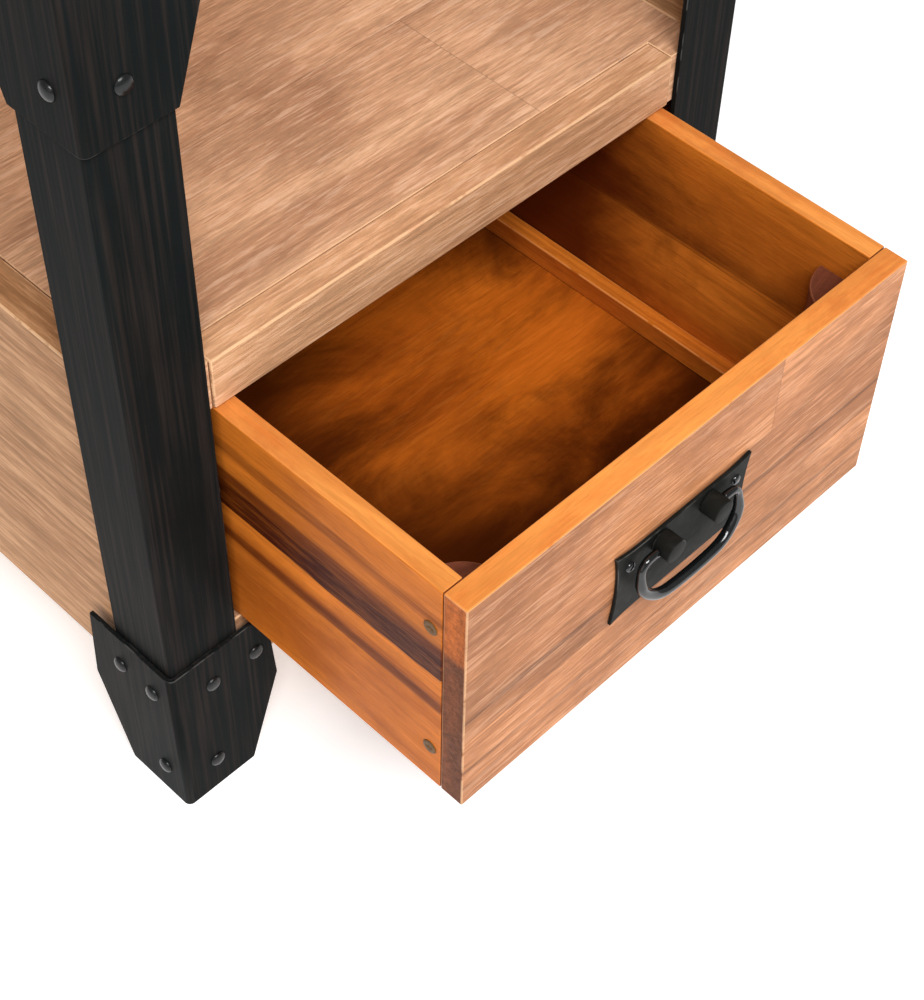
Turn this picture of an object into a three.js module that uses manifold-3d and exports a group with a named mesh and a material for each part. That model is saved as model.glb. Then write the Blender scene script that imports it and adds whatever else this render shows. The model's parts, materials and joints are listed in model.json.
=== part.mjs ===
// Side table with one drawer: a wooden case between four angle-iron legs with riveted corner brackets.
// Millimetres, +Z up. The front faces -Y, and the drawer stands partly open.
// The origin is on the floor, under the middle of the whole object's box.

import * as THREE from 'three';
import * as BufferGeometryUtils from 'three/addons/utils/BufferGeometryUtils.js';
import Module from 'manifold-3d';

const wasm = await Module();
wasm.setup();

// ---------------------------------------------------------------- driving dimensions

// Whole table
const tableWidth = 400;
const tableDepth = 400;
const legHeight = 563;
const topThickness = 30;
const topOverhang = 5;

// Clearances
const touchGap = 0.3;
const screwClearance = 0.25;

// Angle-iron legs
const legFlange = 43;
const legIron = 3;
const legBendRadius = 3.3;
const legRootRadius = 1.5;

// Corner brackets: a narrow toe, a shoulder and a wide upright head on each flange
const bracketIron = 2.5;
const bracketRootRadius = 1.3;
const bracketHeight = 114;
const bracketToeWidth = 46;
const bracketShoulderWidth = 67;
const bracketShoulderHeight = 60;
const bracketHeadWidth = 63;
const rivetRadius = 4.6;
const rivetHeight = 2.4;
const rivetToeRow = 24;
const rivetHeadRow = 90;
const rivetFirstColumns = { toe: 22, head: 25.5, outer: 54 };
const rivetSecondColumns = { toe: 16, head: 17, outer: 42 };

// Fixing plate inside the head of each leg
const headPlateSide = 38;
const headPlateIron = 4;
const headPlateHoleRadius = 3;

// Case
const shelfThickness = 30;
const stripDepth = 17;
const stripSetback = 2;
const stripEndGap = 4;
const caseSideThickness = 19;
const caseCornerEase = 4.5;
const caseBackThickness = 12;
const caseBottomThickness = 15;
const caseSideDrop = 17;
const railThickness = 18;
const railGap = 2;
const runnerWidth = 36;
const runnerHeight = 12;
const runnerClearance = 0.5;
const guideHeight = 30;

// Drawer
const drawerHeight = 152;
const drawerTopGap = 2.3;
const drawerBracketGap = 5.7;
const drawerEndGap = 5;
const drawerGuideClearance = 1.5;
const drawerRearGap = 15;
const drawerOpen = 155;
const drawerFrontThickness = 14;
const drawerSideThickness = 12;
const drawerBackThickness = 12;
const drawerBottomThickness = 6;
const drawerBottomRaise = 8;
const cleatWidth = 10;
const cleatHeight = 14;
const cornerBlockRadius = 26;
const cornerBlockDrop = 22;

// Screws that hold the drawer sides to the corner blocks
const screwHeadRadius = 4.2;
const screwHeadDepth = 2.6;
const screwShankRadius = 2;
const screwLength = 26;
const screwSetback = 21.3;
const screwTopDrop = 31;
const screwBottomRise = 28;

// Bail pull
const handleOffset = -8;
const handlePivotDrop = 60;
const plateWidth = 96;
const plateAbovePivot = 10.5;
const plateBelowPivot = 38.5;
const plateIron = 2;
const plateFlare = 9;
const plateWaist = 2.5;
const postSpacing = 34;
const postRadius = 6.5;
const postRim = 0.8;
const postWall = 3.4;
const boreDepth = 5;
const boreClearance = 0.35;
const bailRadius = 2.9;
const bailPinRadius = 2.5;
const bailPlateGap = 1.3;
const bailPostGap = 2.5;
const bailArmOut = 11.5;
const bailDrop = 30.5;
const bailBow = 4.2;
const plateScrewColumn = 38;
const plateScrewRow = -2;
const plateScrewHeadRadius = 3;
const plateScrewHeadHeight = 1.2;
const plateScrewShankRadius = 1.3;
const plateScrewLength = 11;

// Facets
const bendSegments = 5;
const roundSides = 16;
const rivetSides = 10;
const rivetRings = 3;
const bailSides = 10;
const bailSteps = 44;

// ---------------------------------------------------------------- sizes that follow

const halfWidth = tableWidth / 2;
const legInside = legIron + touchGap;
const legOpening = tableWidth - 2 * legFlange;
const caseHalfOutside = halfWidth - legInside;
const caseHalfInside = caseHalfOutside - caseSideThickness - touchGap;

// The drawer runs just above the foot brackets, and the shelf lies just above the drawer.
const drawerFloor = bracketHeight + drawerBracketGap;
const shelfHeight = drawerFloor + drawerHeight + drawerTopGap;
const shelfTop = shelfHeight + shelfThickness;
const stripHalfLength = legOpening / 2 - stripEndGap;
const stripRear = stripSetback + stripDepth;

const drawerWidth = legOpening - 2 * drawerEndGap;
const drawerHalfWidth = drawerWidth / 2;
const drawerHalfInside = drawerHalfWidth - drawerSideThickness;
const drawerLength = tableDepth - legInside - caseBackThickness - drawerRearGap;
const drawerFrontInside = drawerFrontThickness + touchGap;
const drawerBottomTop = drawerBottomRaise + drawerBottomThickness;
const cornerBlockBase = drawerBottomTop + touchGap;
const pivotRow = drawerHeight - handlePivotDrop;

const runnerTop = drawerFloor - runnerClearance;
const runnerBase = runnerTop - runnerHeight;
const caseBottomTop = runnerBase - touchGap;
const caseBottomBase = caseBottomTop - caseBottomThickness;
const caseEdge = caseBottomBase - caseSideDrop;
const caseBackFront = tableDepth - legInside - caseBackThickness;
const caseInsideFront = legInside + railThickness + touchGap;
const caseInsideRear = caseBackFront - touchGap;

const plateBack = touchGap;
const plateFront = plateBack + plateIron;
const pivotProud = plateFront + bailPlateGap + bailRadius;
const boreRadius = bailPinRadius + boreClearance;
const postProud = pivotProud + boreRadius + postWall;
const postColumn = postSpacing / 2;
const bailHalfWidth = postColumn + postRadius + bailArmOut;

// The whole object's box runs from the bail or its posts to the rear rivets or the top's rear edge.
const frontProud = Math.max(postProud, pivotProud + bailBow + bailRadius);
const rearProud = Math.max(topOverhang, touchGap + bracketIron + rivetHeight);
const boxCentreY = (tableDepth + rearProud - drawerOpen - frontProud) / 2;

// ---------------------------------------------------------------- materials

function tanWood() {
  return new THREE.MeshStandardMaterial({ color: 0xcd9a70, roughness: 0.62, metalness: 0 });
}

function orangeWood() {
  return new THREE.MeshStandardMaterial({ color: 0xcf7a30, roughness: 0.35, metalness: 0 });
}

function darkWood() {
  return new THREE.MeshStandardMaterial({ color: 0x8a4c1c, roughness: 0.4, metalness: 0 });
}

function plainWood() {
  return new THREE.MeshStandardMaterial({ color: 0xb98a5e, roughness: 0.7, metalness: 0 });
}

function blackIron() {
  return new THREE.MeshStandardMaterial({ color: 0x2b2e2f, roughness: 0.5, metalness: 0.8 });
}

function pullIron() {
  return new THREE.MeshStandardMaterial({ color: 0x191b1c, roughness: 0.35, metalness: 0.8 });
}

function screwSteel() {
  return new THREE.MeshStandardMaterial({ color: 0x6b4a2e, roughness: 0.45, metalness: 0.8 });
}

// ---------------------------------------------------------------- solids

function solidOf(geometry) {
  const bare = geometry.clone();
  bare.deleteAttribute('normal');
  bare.deleteAttribute('uv');
  const merged = BufferGeometryUtils.mergeVertices(bare, 1e-4);
  const vertProperties = new Float32Array(merged.attributes.position.array);
  const triVerts = new Uint32Array(merged.index.array);
  return new wasm.Manifold(new wasm.Mesh({ numProp: 3, vertProperties, triVerts }));
}

function geometryOf(solid) {
  const mesh = solid.getMesh();
  const geometry = new THREE.BufferGeometry();
  geometry.setAttribute('position', new THREE.BufferAttribute(mesh.vertProperties, mesh.numProp));
  geometry.setIndex(new THREE.BufferAttribute(mesh.triVerts, 1));
  return geometry;
}

function addPiece(group, name, geometry, material) {
  const mesh = new THREE.Mesh(geometry, material);
  mesh.name = name;
  group.add(mesh);
  return mesh;
}

// A plain board between two opposite corners.
function addBoard(group, name, low, high, material) {
  const size = [high[0] - low[0], high[1] - low[1], high[2] - low[2]];
  const mesh = addPiece(group, name, new THREE.BoxGeometry(...size), material);
  mesh.position.set((low[0] + high[0]) / 2, (low[1] + high[1]) / 2, (low[2] + high[2]) / 2);
  return mesh;
}

// An upright prism of a plan outline.
function prism(shape, base, height) {
  const geometry = new THREE.ExtrudeGeometry(shape, {
    depth: height,
    bevelEnabled: false,
    curveSegments: bendSegments,
  });
  return geometry.translate(0, 0, base);
}

// A prism of an outline drawn in X and Z, that runs back along Y.
function frontPrism(shape, front, depth) {
  const geometry = new THREE.ExtrudeGeometry(shape, {
    depth,
    bevelEnabled: false,
    curveSegments: bendSegments,
  });
  return geometry.rotateX(Math.PI / 2).translate(0, front + depth, 0);
}

// A cylinder along X from x0 to x1.
function rodAlongX(radius, x0, x1, y, z) {
  const geometry = new THREE.CylinderGeometry(radius, radius, x1 - x0, roundSides);
  return geometry.rotateZ(Math.PI / 2).translate((x0 + x1) / 2, y, z);
}

// ---------------------------------------------------------------- legs and brackets

// The section of an angle with its outer corner at the origin and its flanges along +X and +Y.
function angleSection(flange, iron, bendRadius, rootRadius) {
  const inside = iron + rootRadius;
  const shape = new THREE.Shape();
  shape.moveTo(bendRadius, 0);
  shape.lineTo(flange, 0);
  shape.lineTo(flange, iron);
  shape.lineTo(inside, iron);
  shape.absarc(inside, inside, rootRadius, -Math.PI / 2, -Math.PI, true);
  shape.lineTo(iron, flange);
  shape.lineTo(0, flange);
  shape.lineTo(0, bendRadius);
  shape.absarc(bendRadius, bendRadius, bendRadius, Math.PI, Math.PI * 1.5, false);
  return shape;
}

// What one bracket flange keeps: a toe, a slope out to the shoulder and an upright head.
function bracketOutline() {
  const behind = -bracketShoulderWidth;
  const shape = new THREE.Shape();
  shape.moveTo(behind, 0);
  shape.lineTo(bracketToeWidth, 0);
  shape.lineTo(bracketShoulderWidth, bracketShoulderHeight);
  shape.lineTo(bracketHeadWidth, bracketHeight);
  shape.lineTo(behind, bracketHeight);
  shape.closePath();
  return shape;
}

// A domed rivet head at the origin that points along -Y, sunk a little into the plate behind it.
function rivetHead() {
  const sink = bracketIron / 2;
  const profile = [new THREE.Vector2(0, -sink), new THREE.Vector2(rivetRadius, -sink)];
  for (let ring = 0; ring < rivetRings; ring += 1) {
    const turn = (ring / rivetRings) * (Math.PI / 2);
    profile.push(new THREE.Vector2(rivetRadius * Math.cos(turn), rivetHeight * Math.sin(turn)));
  }
  profile.push(new THREE.Vector2(0, rivetHeight));
  return new THREE.LatheGeometry(profile, rivetSides).rotateX(Math.PI);
}

// A folded corner bracket with its toe at z = 0 and its outer bend at the origin.
function cornerBracket() {
  const bend = bracketRootRadius + bracketIron;
  const section = angleSection(bracketShoulderWidth, bracketIron, bend, bracketRootRadius);
  const outline = frontPrism(bracketOutline(), -bracketShoulderWidth, 3 * bracketShoulderWidth);
  const sideOutline = outline.clone().rotateZ(Math.PI / 2).translate(bracketShoulderWidth, 0, 0);
  let solid = solidOf(prism(section, 0, bracketHeight));
  solid = solid.intersect(solidOf(outline)).intersect(solidOf(sideOutline));
  for (const [spot, row] of [['toe', rivetToeRow], ['head', rivetHeadRow], ['outer', rivetHeadRow]]) {
    const first = rivetHead().translate(rivetFirstColumns[spot], 0, row);
    const second = rivetHead().rotateZ(-Math.PI / 2).translate(0, rivetSecondColumns[spot], row);
    solid = solid.add(solidOf(first)).add(solidOf(second));
  }
  return geometryOf(solid);
}

// A three-cornered plate in the head of the leg, with one hole for the screw into the top.
function headPlate() {
  const shape = new THREE.Shape();
  shape.moveTo(caseCornerEase, 0);
  shape.lineTo(headPlateSide, 0);
  shape.lineTo(0, headPlateSide);
  shape.lineTo(0, caseCornerEase);
  shape.closePath();
  const hole = new THREE.Path();
  hole.absarc(headPlateSide / 3, headPlateSide / 3, headPlateHoleRadius, 0, Math.PI * 2, true);
  shape.holes.push(hole);
  return prism(shape, legHeight - headPlateIron, headPlateIron);
}

function addCorner(table, place, x, y, turn) {
  const corner = new THREE.Group();
  corner.position.set(x, y, 0);
  corner.rotation.z = turn;
  table.add(corner);
  const section = angleSection(legFlange, legIron, legBendRadius, legRootRadius);
  addPiece(corner, 'leg_' + place, prism(section, 0, legHeight), blackIron());

  const outside = -(bracketIron + touchGap);
  const foot = addPiece(corner, 'foot_bracket_' + place, cornerBracket(), blackIron());
  foot.position.set(outside, outside, 0);
  const head = addPiece(corner, 'head_bracket_' + place, cornerBracket(), blackIron());
  head.position.set(outside, outside, legHeight - bracketHeight);

  const plate = addPiece(corner, 'head_plate_' + place, headPlate(), blackIron());
  plate.position.set(legInside, legInside, 0);
}

function addCorners(table) {
  addCorner(table, 'front_left', -halfWidth, 0, 0);
  addCorner(table, 'front_right', halfWidth, 0, Math.PI / 2);
  addCorner(table, 'rear_right', halfWidth, tableDepth, Math.PI);
  addCorner(table, 'rear_left', -halfWidth, tableDepth, -Math.PI / 2);
}

function addTop(table) {
  const half = halfWidth + topOverhang;
  const low = [-half, -topOverhang, legHeight + touchGap];
  const high = [half, tableDepth + topOverhang, legHeight + topThickness];
  addBoard(table, 'table_top', low, high, tanWood());
}

// ---------------------------------------------------------------- case

// The shelf is notched at the front, where its strip stands between the front legs.
function shelfOutline() {
  const notch = stripHalfLength + touchGap;
  const notchRear = stripRear + touchGap;
  const shape = new THREE.Shape();
  shape.moveTo(-caseHalfInside, legInside);
  shape.lineTo(-notch, legInside);
  shape.lineTo(-notch, notchRear);
  shape.lineTo(notch, notchRear);
  shape.lineTo(notch, legInside);
  shape.lineTo(caseHalfInside, legInside);
  shape.lineTo(caseHalfInside, tableDepth - legInside);
  shape.lineTo(-caseHalfInside, tableDepth - legInside);
  shape.closePath();
  return shape;
}

function addShelf(table) {
  addPiece(table, 'shelf_board', prism(shelfOutline(), shelfHeight, shelfThickness), tanWood());
  const low = [-stripHalfLength, stripSetback, shelfHeight];
  const high = [stripHalfLength, stripRear, shelfTop];
  addBoard(table, 'shelf_front_strip', low, high, tanWood());
}

// A case side fits into the bends of its two legs, so its outer corners are eased.
function caseSide(side) {
  const inner = side * (caseHalfInside + touchGap);
  const outer = side * caseHalfOutside;
  const eased = side * (caseHalfOutside - caseCornerEase);
  const rear = tableDepth - legInside;
  const shape = new THREE.Shape();
  shape.moveTo(inner, legInside);
  shape.lineTo(eased, legInside);
  shape.lineTo(outer, legInside + caseCornerEase);
  shape.lineTo(outer, rear - caseCornerEase);
  shape.lineTo(eased, rear);
  shape.lineTo(inner, rear);
  shape.closePath();
  return prism(shape, caseEdge, shelfTop - caseEdge);
}

function addCasePanels(table) {
  const rear = tableDepth - legInside;
  addPiece(table, 'case_side_left', caseSide(-1), tanWood());
  addPiece(table, 'case_side_right', caseSide(1), tanWood());
  addBoard(table, 'case_back', [-caseHalfInside, caseBackFront, caseEdge],
    [caseHalfInside, rear, shelfHeight - touchGap], plainWood());
  addBoard(table, 'case_bottom', [-caseHalfInside, caseInsideFront, caseBottomBase],
    [caseHalfInside, caseInsideRear, caseBottomTop], plainWood());
  addBoard(table, 'front_rail', [-caseHalfInside, legInside, caseEdge],
    [caseHalfInside, legInside + railThickness, drawerFloor - railGap], tanWood());
}

// A runner carries the drawer side, and a guide on it keeps the drawer straight.
function addRunners(table) {
  for (const [place, side] of [['left', -1], ['right', 1]]) {
    const runner = [side * caseHalfInside, side * (caseHalfInside - runnerWidth)].sort((a, b) => a - b);
    addBoard(table, 'runner_' + place, [runner[0], caseInsideFront, runnerBase],
      [runner[1], caseInsideRear, runnerTop], plainWood());
    const inner = drawerHalfWidth + drawerGuideClearance;
    const guide = [side * caseHalfInside, side * inner].sort((a, b) => a - b);
    const base = runnerTop + touchGap;
    addBoard(table, 'guide_' + place, [guide[0], caseInsideFront, base],
      [guide[1], caseInsideRear, base + guideHeight], plainWood());
  }
}

// ---------------------------------------------------------------- drawer

// The drawer's own frame: x = 0 in the middle, y = 0 at the front face, z = 0 at its lower edge.

// A countersunk screw along +X with its flush head at x = 0, grown by a clearance for its hole.
function sideScrew(grow) {
  const headBack = screwHeadDepth + grow;
  const profile = [
    new THREE.Vector2(0, 0),
    new THREE.Vector2(screwHeadRadius + grow, 0),
    new THREE.Vector2(screwShankRadius + grow, headBack),
    new THREE.Vector2(screwShankRadius + grow, screwLength - screwShankRadius),
    new THREE.Vector2(0, screwLength + grow),
  ];
  return new THREE.LatheGeometry(profile, roundSides).rotateZ(-Math.PI / 2);
}

function screwRows() {
  return [['upper', drawerHeight - screwTopDrop], ['lower', screwBottomRise]];
}

// Places a screw, or its hole, in the left (-1) or right (+1) drawer side.
function placeScrew(geometry, side, row, out) {
  if (side > 0) {
    geometry.rotateZ(Math.PI);
  }
  return geometry.translate(side * (drawerHalfWidth + out), screwSetback, row);
}

function cutScrewHoles(solid, side) {
  let cut = solid;
  for (const [, row] of screwRows()) {
    cut = cut.subtract(solidOf(placeScrew(sideScrew(screwClearance), side, row, screwClearance / 2)));
  }
  return cut;
}

function drawerSide(side) {
  const length = drawerLength - drawerFrontInside;
  const box = new THREE.BoxGeometry(drawerSideThickness, length, drawerHeight);
  const x = side * (drawerHalfWidth - drawerSideThickness / 2);
  box.translate(x, drawerFrontInside + length / 2, drawerHeight / 2);
  return geometryOf(cutScrewHoles(solidOf(box), side));
}

function cornerBlock(side) {
  const shape = new THREE.Shape();
  shape.moveTo(0, 0);
  shape.lineTo(cornerBlockRadius, 0);
  shape.absarc(0, 0, cornerBlockRadius, 0, Math.PI / 2, false);
  shape.closePath();
  const height = drawerHeight - cornerBlockDrop - cornerBlockBase;
  const block = prism(shape, cornerBlockBase, height);
  if (side > 0) {
    block.rotateZ(Math.PI / 2);
  }
  block.translate(side * (drawerHalfInside - touchGap), drawerFrontInside, 0);
  return geometryOf(cutScrewHoles(solidOf(block), side));
}

// The front, with blind holes for the two screws of the pull's plate.
function drawerFront() {
  const box = new THREE.BoxGeometry(drawerWidth, drawerFrontThickness, drawerHeight);
  let solid = solidOf(box.translate(0, drawerFrontThickness / 2, drawerHeight / 2));
  const radius = plateScrewShankRadius + screwClearance;
  const depth = 2 * plateScrewLength;
  for (const side of [-1, 1]) {
    const hole = new THREE.CylinderGeometry(radius, radius, depth, roundSides);
    const x = handleOffset + side * plateScrewColumn;
    solid = solid.subtract(solidOf(hole.translate(x, 0, pivotRow + plateScrewRow)));
  }
  return geometryOf(solid);
}

function addDrawerBox(drawer) {
  const inner = drawerHalfInside - touchGap;
  const backFront = drawerLength - drawerBackThickness;
  const rear = backFront - touchGap;
  addPiece(drawer, 'drawer_front', drawerFront(), tanWood());
  addBoard(drawer, 'drawer_back', [-inner, backFront, 0], [inner, drawerLength, drawerHeight], orangeWood());
  addBoard(drawer, 'drawer_bottom', [-inner, drawerFrontInside, drawerBottomRaise],
    [inner, rear, drawerBottomTop], darkWood());
  for (const [place, side] of [['left', -1], ['right', 1]]) {
    addPiece(drawer, 'drawer_side_' + place, drawerSide(side), orangeWood());
    addPiece(drawer, 'corner_block_' + place, cornerBlock(side), darkWood());
    const cleat = [side * inner, side * (inner - cleatWidth)].sort((a, b) => a - b);
    const front = drawerFrontInside + cornerBlockRadius + touchGap;
    addBoard(drawer, 'drawer_cleat_' + place, [cleat[0], front, cornerBlockBase],
      [cleat[1], rear, drawerBottomTop + cleatHeight], orangeWood());
    for (const [level, row] of screwRows()) {
      const screw = placeScrew(sideScrew(0), side, row, 0);
      addPiece(drawer, 'side_screw_' + place + '_' + level, screw, screwSteel());
    }
  }
}

// ---------------------------------------------------------------- bail pull

// The pull's own frame: x = 0 between the posts, y = 0 at the drawer's face, z = 0 at the pivot.

// The backplate's corners flare out to points, and its four edges are hollow between them.
function plateOutline() {
  const half = plateWidth / 2;
  const top = plateAbovePivot;
  const low = -plateBelowPivot;
  const middle = (top + low) / 2;
  const shape = new THREE.Shape();
  shape.moveTo(-half, low);
  shape.quadraticCurveTo(-half + plateFlare, low + plateWaist, -half + 2 * plateFlare, low + plateWaist);
  shape.lineTo(half - 2 * plateFlare, low + plateWaist);
  shape.quadraticCurveTo(half - plateFlare, low + plateWaist, half, low);
  shape.quadraticCurveTo(half - 2 * plateWaist, middle, half, top);
  shape.quadraticCurveTo(half - plateFlare, top - plateWaist, half - 2 * plateFlare, top - plateWaist);
  shape.lineTo(-half + 2 * plateFlare, top - plateWaist);
  shape.quadraticCurveTo(-half + plateFlare, top - plateWaist, -half, top);
  shape.quadraticCurveTo(-half + 2 * plateWaist, middle, -half, low);
  for (const side of [-1, 1]) {
    const hole = new THREE.Path();
    const radius = plateScrewShankRadius + screwClearance;
    hole.absarc(side * plateScrewColumn, plateScrewRow, radius, 0, Math.PI * 2, true);
    shape.holes.push(hole);
  }
  return shape;
}

// A round post on the plate, bored from its outer side for the end of the bail.
function handlePost(side) {
  const base = plateFront + touchGap;
  const profile = [
    new THREE.Vector2(0, base),
    new THREE.Vector2(postRadius, base),
    new THREE.Vector2(postRadius, postProud - postRim),
    new THREE.Vector2(postRadius - postRim, postProud),
    new THREE.Vector2(0, postProud),
  ];
  const body = new THREE.LatheGeometry(profile, 2 * roundSides);
  body.rotateX(Math.PI).translate(side * postColumn, 0, 0);
  const mouth = side * (postColumn + 2 * postRadius);
  const end = side * (postColumn + postRadius - boreDepth);
  const bore = rodAlongX(boreRadius, Math.min(mouth, end), Math.max(mouth, end), -pivotProud, 0);
  return geometryOf(solidOf(body).subtract(solidOf(bore)));
}

// Half of the bail's centre line, from the pin out, round the shoulder and down to the middle.
function bailHalf() {
  const start = postColumn + postRadius + bailPostGap;
  return [
    [start, 0],
    [bailHalfWidth - 4.5, -0.4],
    [bailHalfWidth - 1, -3.2],
    [bailHalfWidth, -7.5],
    [bailHalfWidth, -bailDrop * 0.45],
    [bailHalfWidth - 5, -bailDrop * 0.75],
    [bailHalfWidth - 18, -bailDrop * 0.965],
    [0, -bailDrop],
  ];
}

// The bail bows out from the drawer's face towards its grip.
function bailPoint(x, z) {
  const bow = bailBow * (-z / bailDrop) ** 1.2;
  return new THREE.Vector3(x, -pivotProud - bow, z);
}

function bail() {
  const right = bailHalf();
  const left = right.slice(0, -1).map(([x, z]) => [-x, z]);
  const points = [...left, ...right.reverse()].map(([x, z]) => bailPoint(x, z));
  const path = new THREE.CatmullRomCurve3(points, false, 'centripetal');
  const section = new THREE.Shape();
  section.absarc(0, 0, bailRadius, 0, Math.PI * 2, false);
  const rod = new THREE.ExtrudeGeometry(section, {
    steps: bailSteps,
    bevelEnabled: false,
    curveSegments: bailSides,
    extrudePath: path,
  });
  let solid = solidOf(rod);
  const inner = postColumn + postRadius - boreDepth + touchGap;
  const outer = postColumn + postRadius + bailPostGap + bailRadius / 2;
  solid = solid.add(solidOf(rodAlongX(bailPinRadius, inner, outer, -pivotProud, 0)));
  solid = solid.add(solidOf(rodAlongX(bailPinRadius, -outer, -inner, -pivotProud, 0)));
  return geometryOf(solid);
}

// A small round-headed screw through the plate into the drawer's front.
function plateScrew() {
  const seat = plateFront + touchGap;
  const profile = [
    new THREE.Vector2(0, seat - plateScrewLength),
    new THREE.Vector2(plateScrewShankRadius, seat - plateScrewLength + plateScrewShankRadius),
    new THREE.Vector2(plateScrewShankRadius, seat),
    new THREE.Vector2(plateScrewHeadRadius, seat),
    new THREE.Vector2(plateScrewHeadRadius * 0.7, seat + plateScrewHeadHeight * 0.75),
    new THREE.Vector2(0, seat + plateScrewHeadHeight),
  ];
  return new THREE.LatheGeometry(profile, roundSides).rotateX(Math.PI);
}

function addPull(drawer) {
  const pull = new THREE.Group();
  pull.position.set(handleOffset, 0, pivotRow);
  drawer.add(pull);
  addPiece(pull, 'handle_plate', frontPrism(plateOutline(), -plateFront, plateIron), pullIron());
  for (const [place, side] of [['left', -1], ['right', 1]]) {
    addPiece(pull, 'handle_post_' + place, handlePost(side), pullIron());
    const screw = addPiece(pull, 'handle_screw_' + place, plateScrew(), pullIron());
    screw.position.set(side * plateScrewColumn, 0, plateScrewRow);
  }
  addPiece(pull, 'bail', bail(), pullIron());
}

// ---------------------------------------------------------------- assembly

const table = new THREE.Group();
table.position.y = -boxCentreY;
addCorners(table);
addTop(table);
addShelf(table);
addCasePanels(table);
addRunners(table);

const drawer = new THREE.Group();
drawer.position.set(0, -drawerOpen, drawerFloor);
table.add(drawer);
addDrawerBox(drawer);
addPull(drawer);

export default table;
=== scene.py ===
"""Side table with a drawer, dressed in Blender.

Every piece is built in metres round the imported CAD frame: iron corner posts with riveted brackets, brushed
boards for the top, the shelf and the case, and an oiled drawer box with a black bail pull on its front.
"""

import json
import logging
import math
from dataclasses import dataclass, replace
from enum import Enum
from typing import Sequence, Union

import bmesh
import bpy
from mathutils import Matrix, Vector


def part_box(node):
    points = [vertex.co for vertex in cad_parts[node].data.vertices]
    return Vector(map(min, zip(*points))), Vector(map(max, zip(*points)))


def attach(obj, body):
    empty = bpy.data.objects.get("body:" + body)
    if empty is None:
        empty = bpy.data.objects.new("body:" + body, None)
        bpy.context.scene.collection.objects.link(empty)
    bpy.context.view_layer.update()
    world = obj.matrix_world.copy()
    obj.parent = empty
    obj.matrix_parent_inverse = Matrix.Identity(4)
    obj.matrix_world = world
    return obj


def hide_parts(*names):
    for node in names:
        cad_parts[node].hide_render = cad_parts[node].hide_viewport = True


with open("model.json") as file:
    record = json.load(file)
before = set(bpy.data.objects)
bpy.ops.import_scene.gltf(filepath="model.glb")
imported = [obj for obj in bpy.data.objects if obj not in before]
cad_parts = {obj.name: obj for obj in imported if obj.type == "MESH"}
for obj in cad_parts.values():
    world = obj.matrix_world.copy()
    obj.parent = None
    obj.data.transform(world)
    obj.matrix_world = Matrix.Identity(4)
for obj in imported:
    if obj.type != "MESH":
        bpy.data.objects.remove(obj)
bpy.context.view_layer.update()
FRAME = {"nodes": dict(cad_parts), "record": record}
MM = 0.001
SNAP = 1e-7
SAME = 1e-6

LOG = logging.getLogger("side_table")

Value = Union[float, bpy.types.NodeSocket]
Tint = tuple[float, float, float]
Shape = bmesh.types.BMesh


# ---------------------------------------------------------------- colours and node trees


def linear(tint: Tint) -> tuple[float, float, float, float]:
    """Turns a tint as it is seen, each part 0 to 255, into the linear colour that the shader wants.

    Args:
        tint: red, green and blue from 0 to 255.

    Returns:
        The linear colour with an alpha of 1.
    """
    parts = []
    for part in tint:
        share = part / 255.0
        parts.append(share / 12.92 if share <= 0.04045 else ((share + 0.055) / 1.055) ** 2.4)
    return (parts[0], parts[1], parts[2], 1.0)


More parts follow.
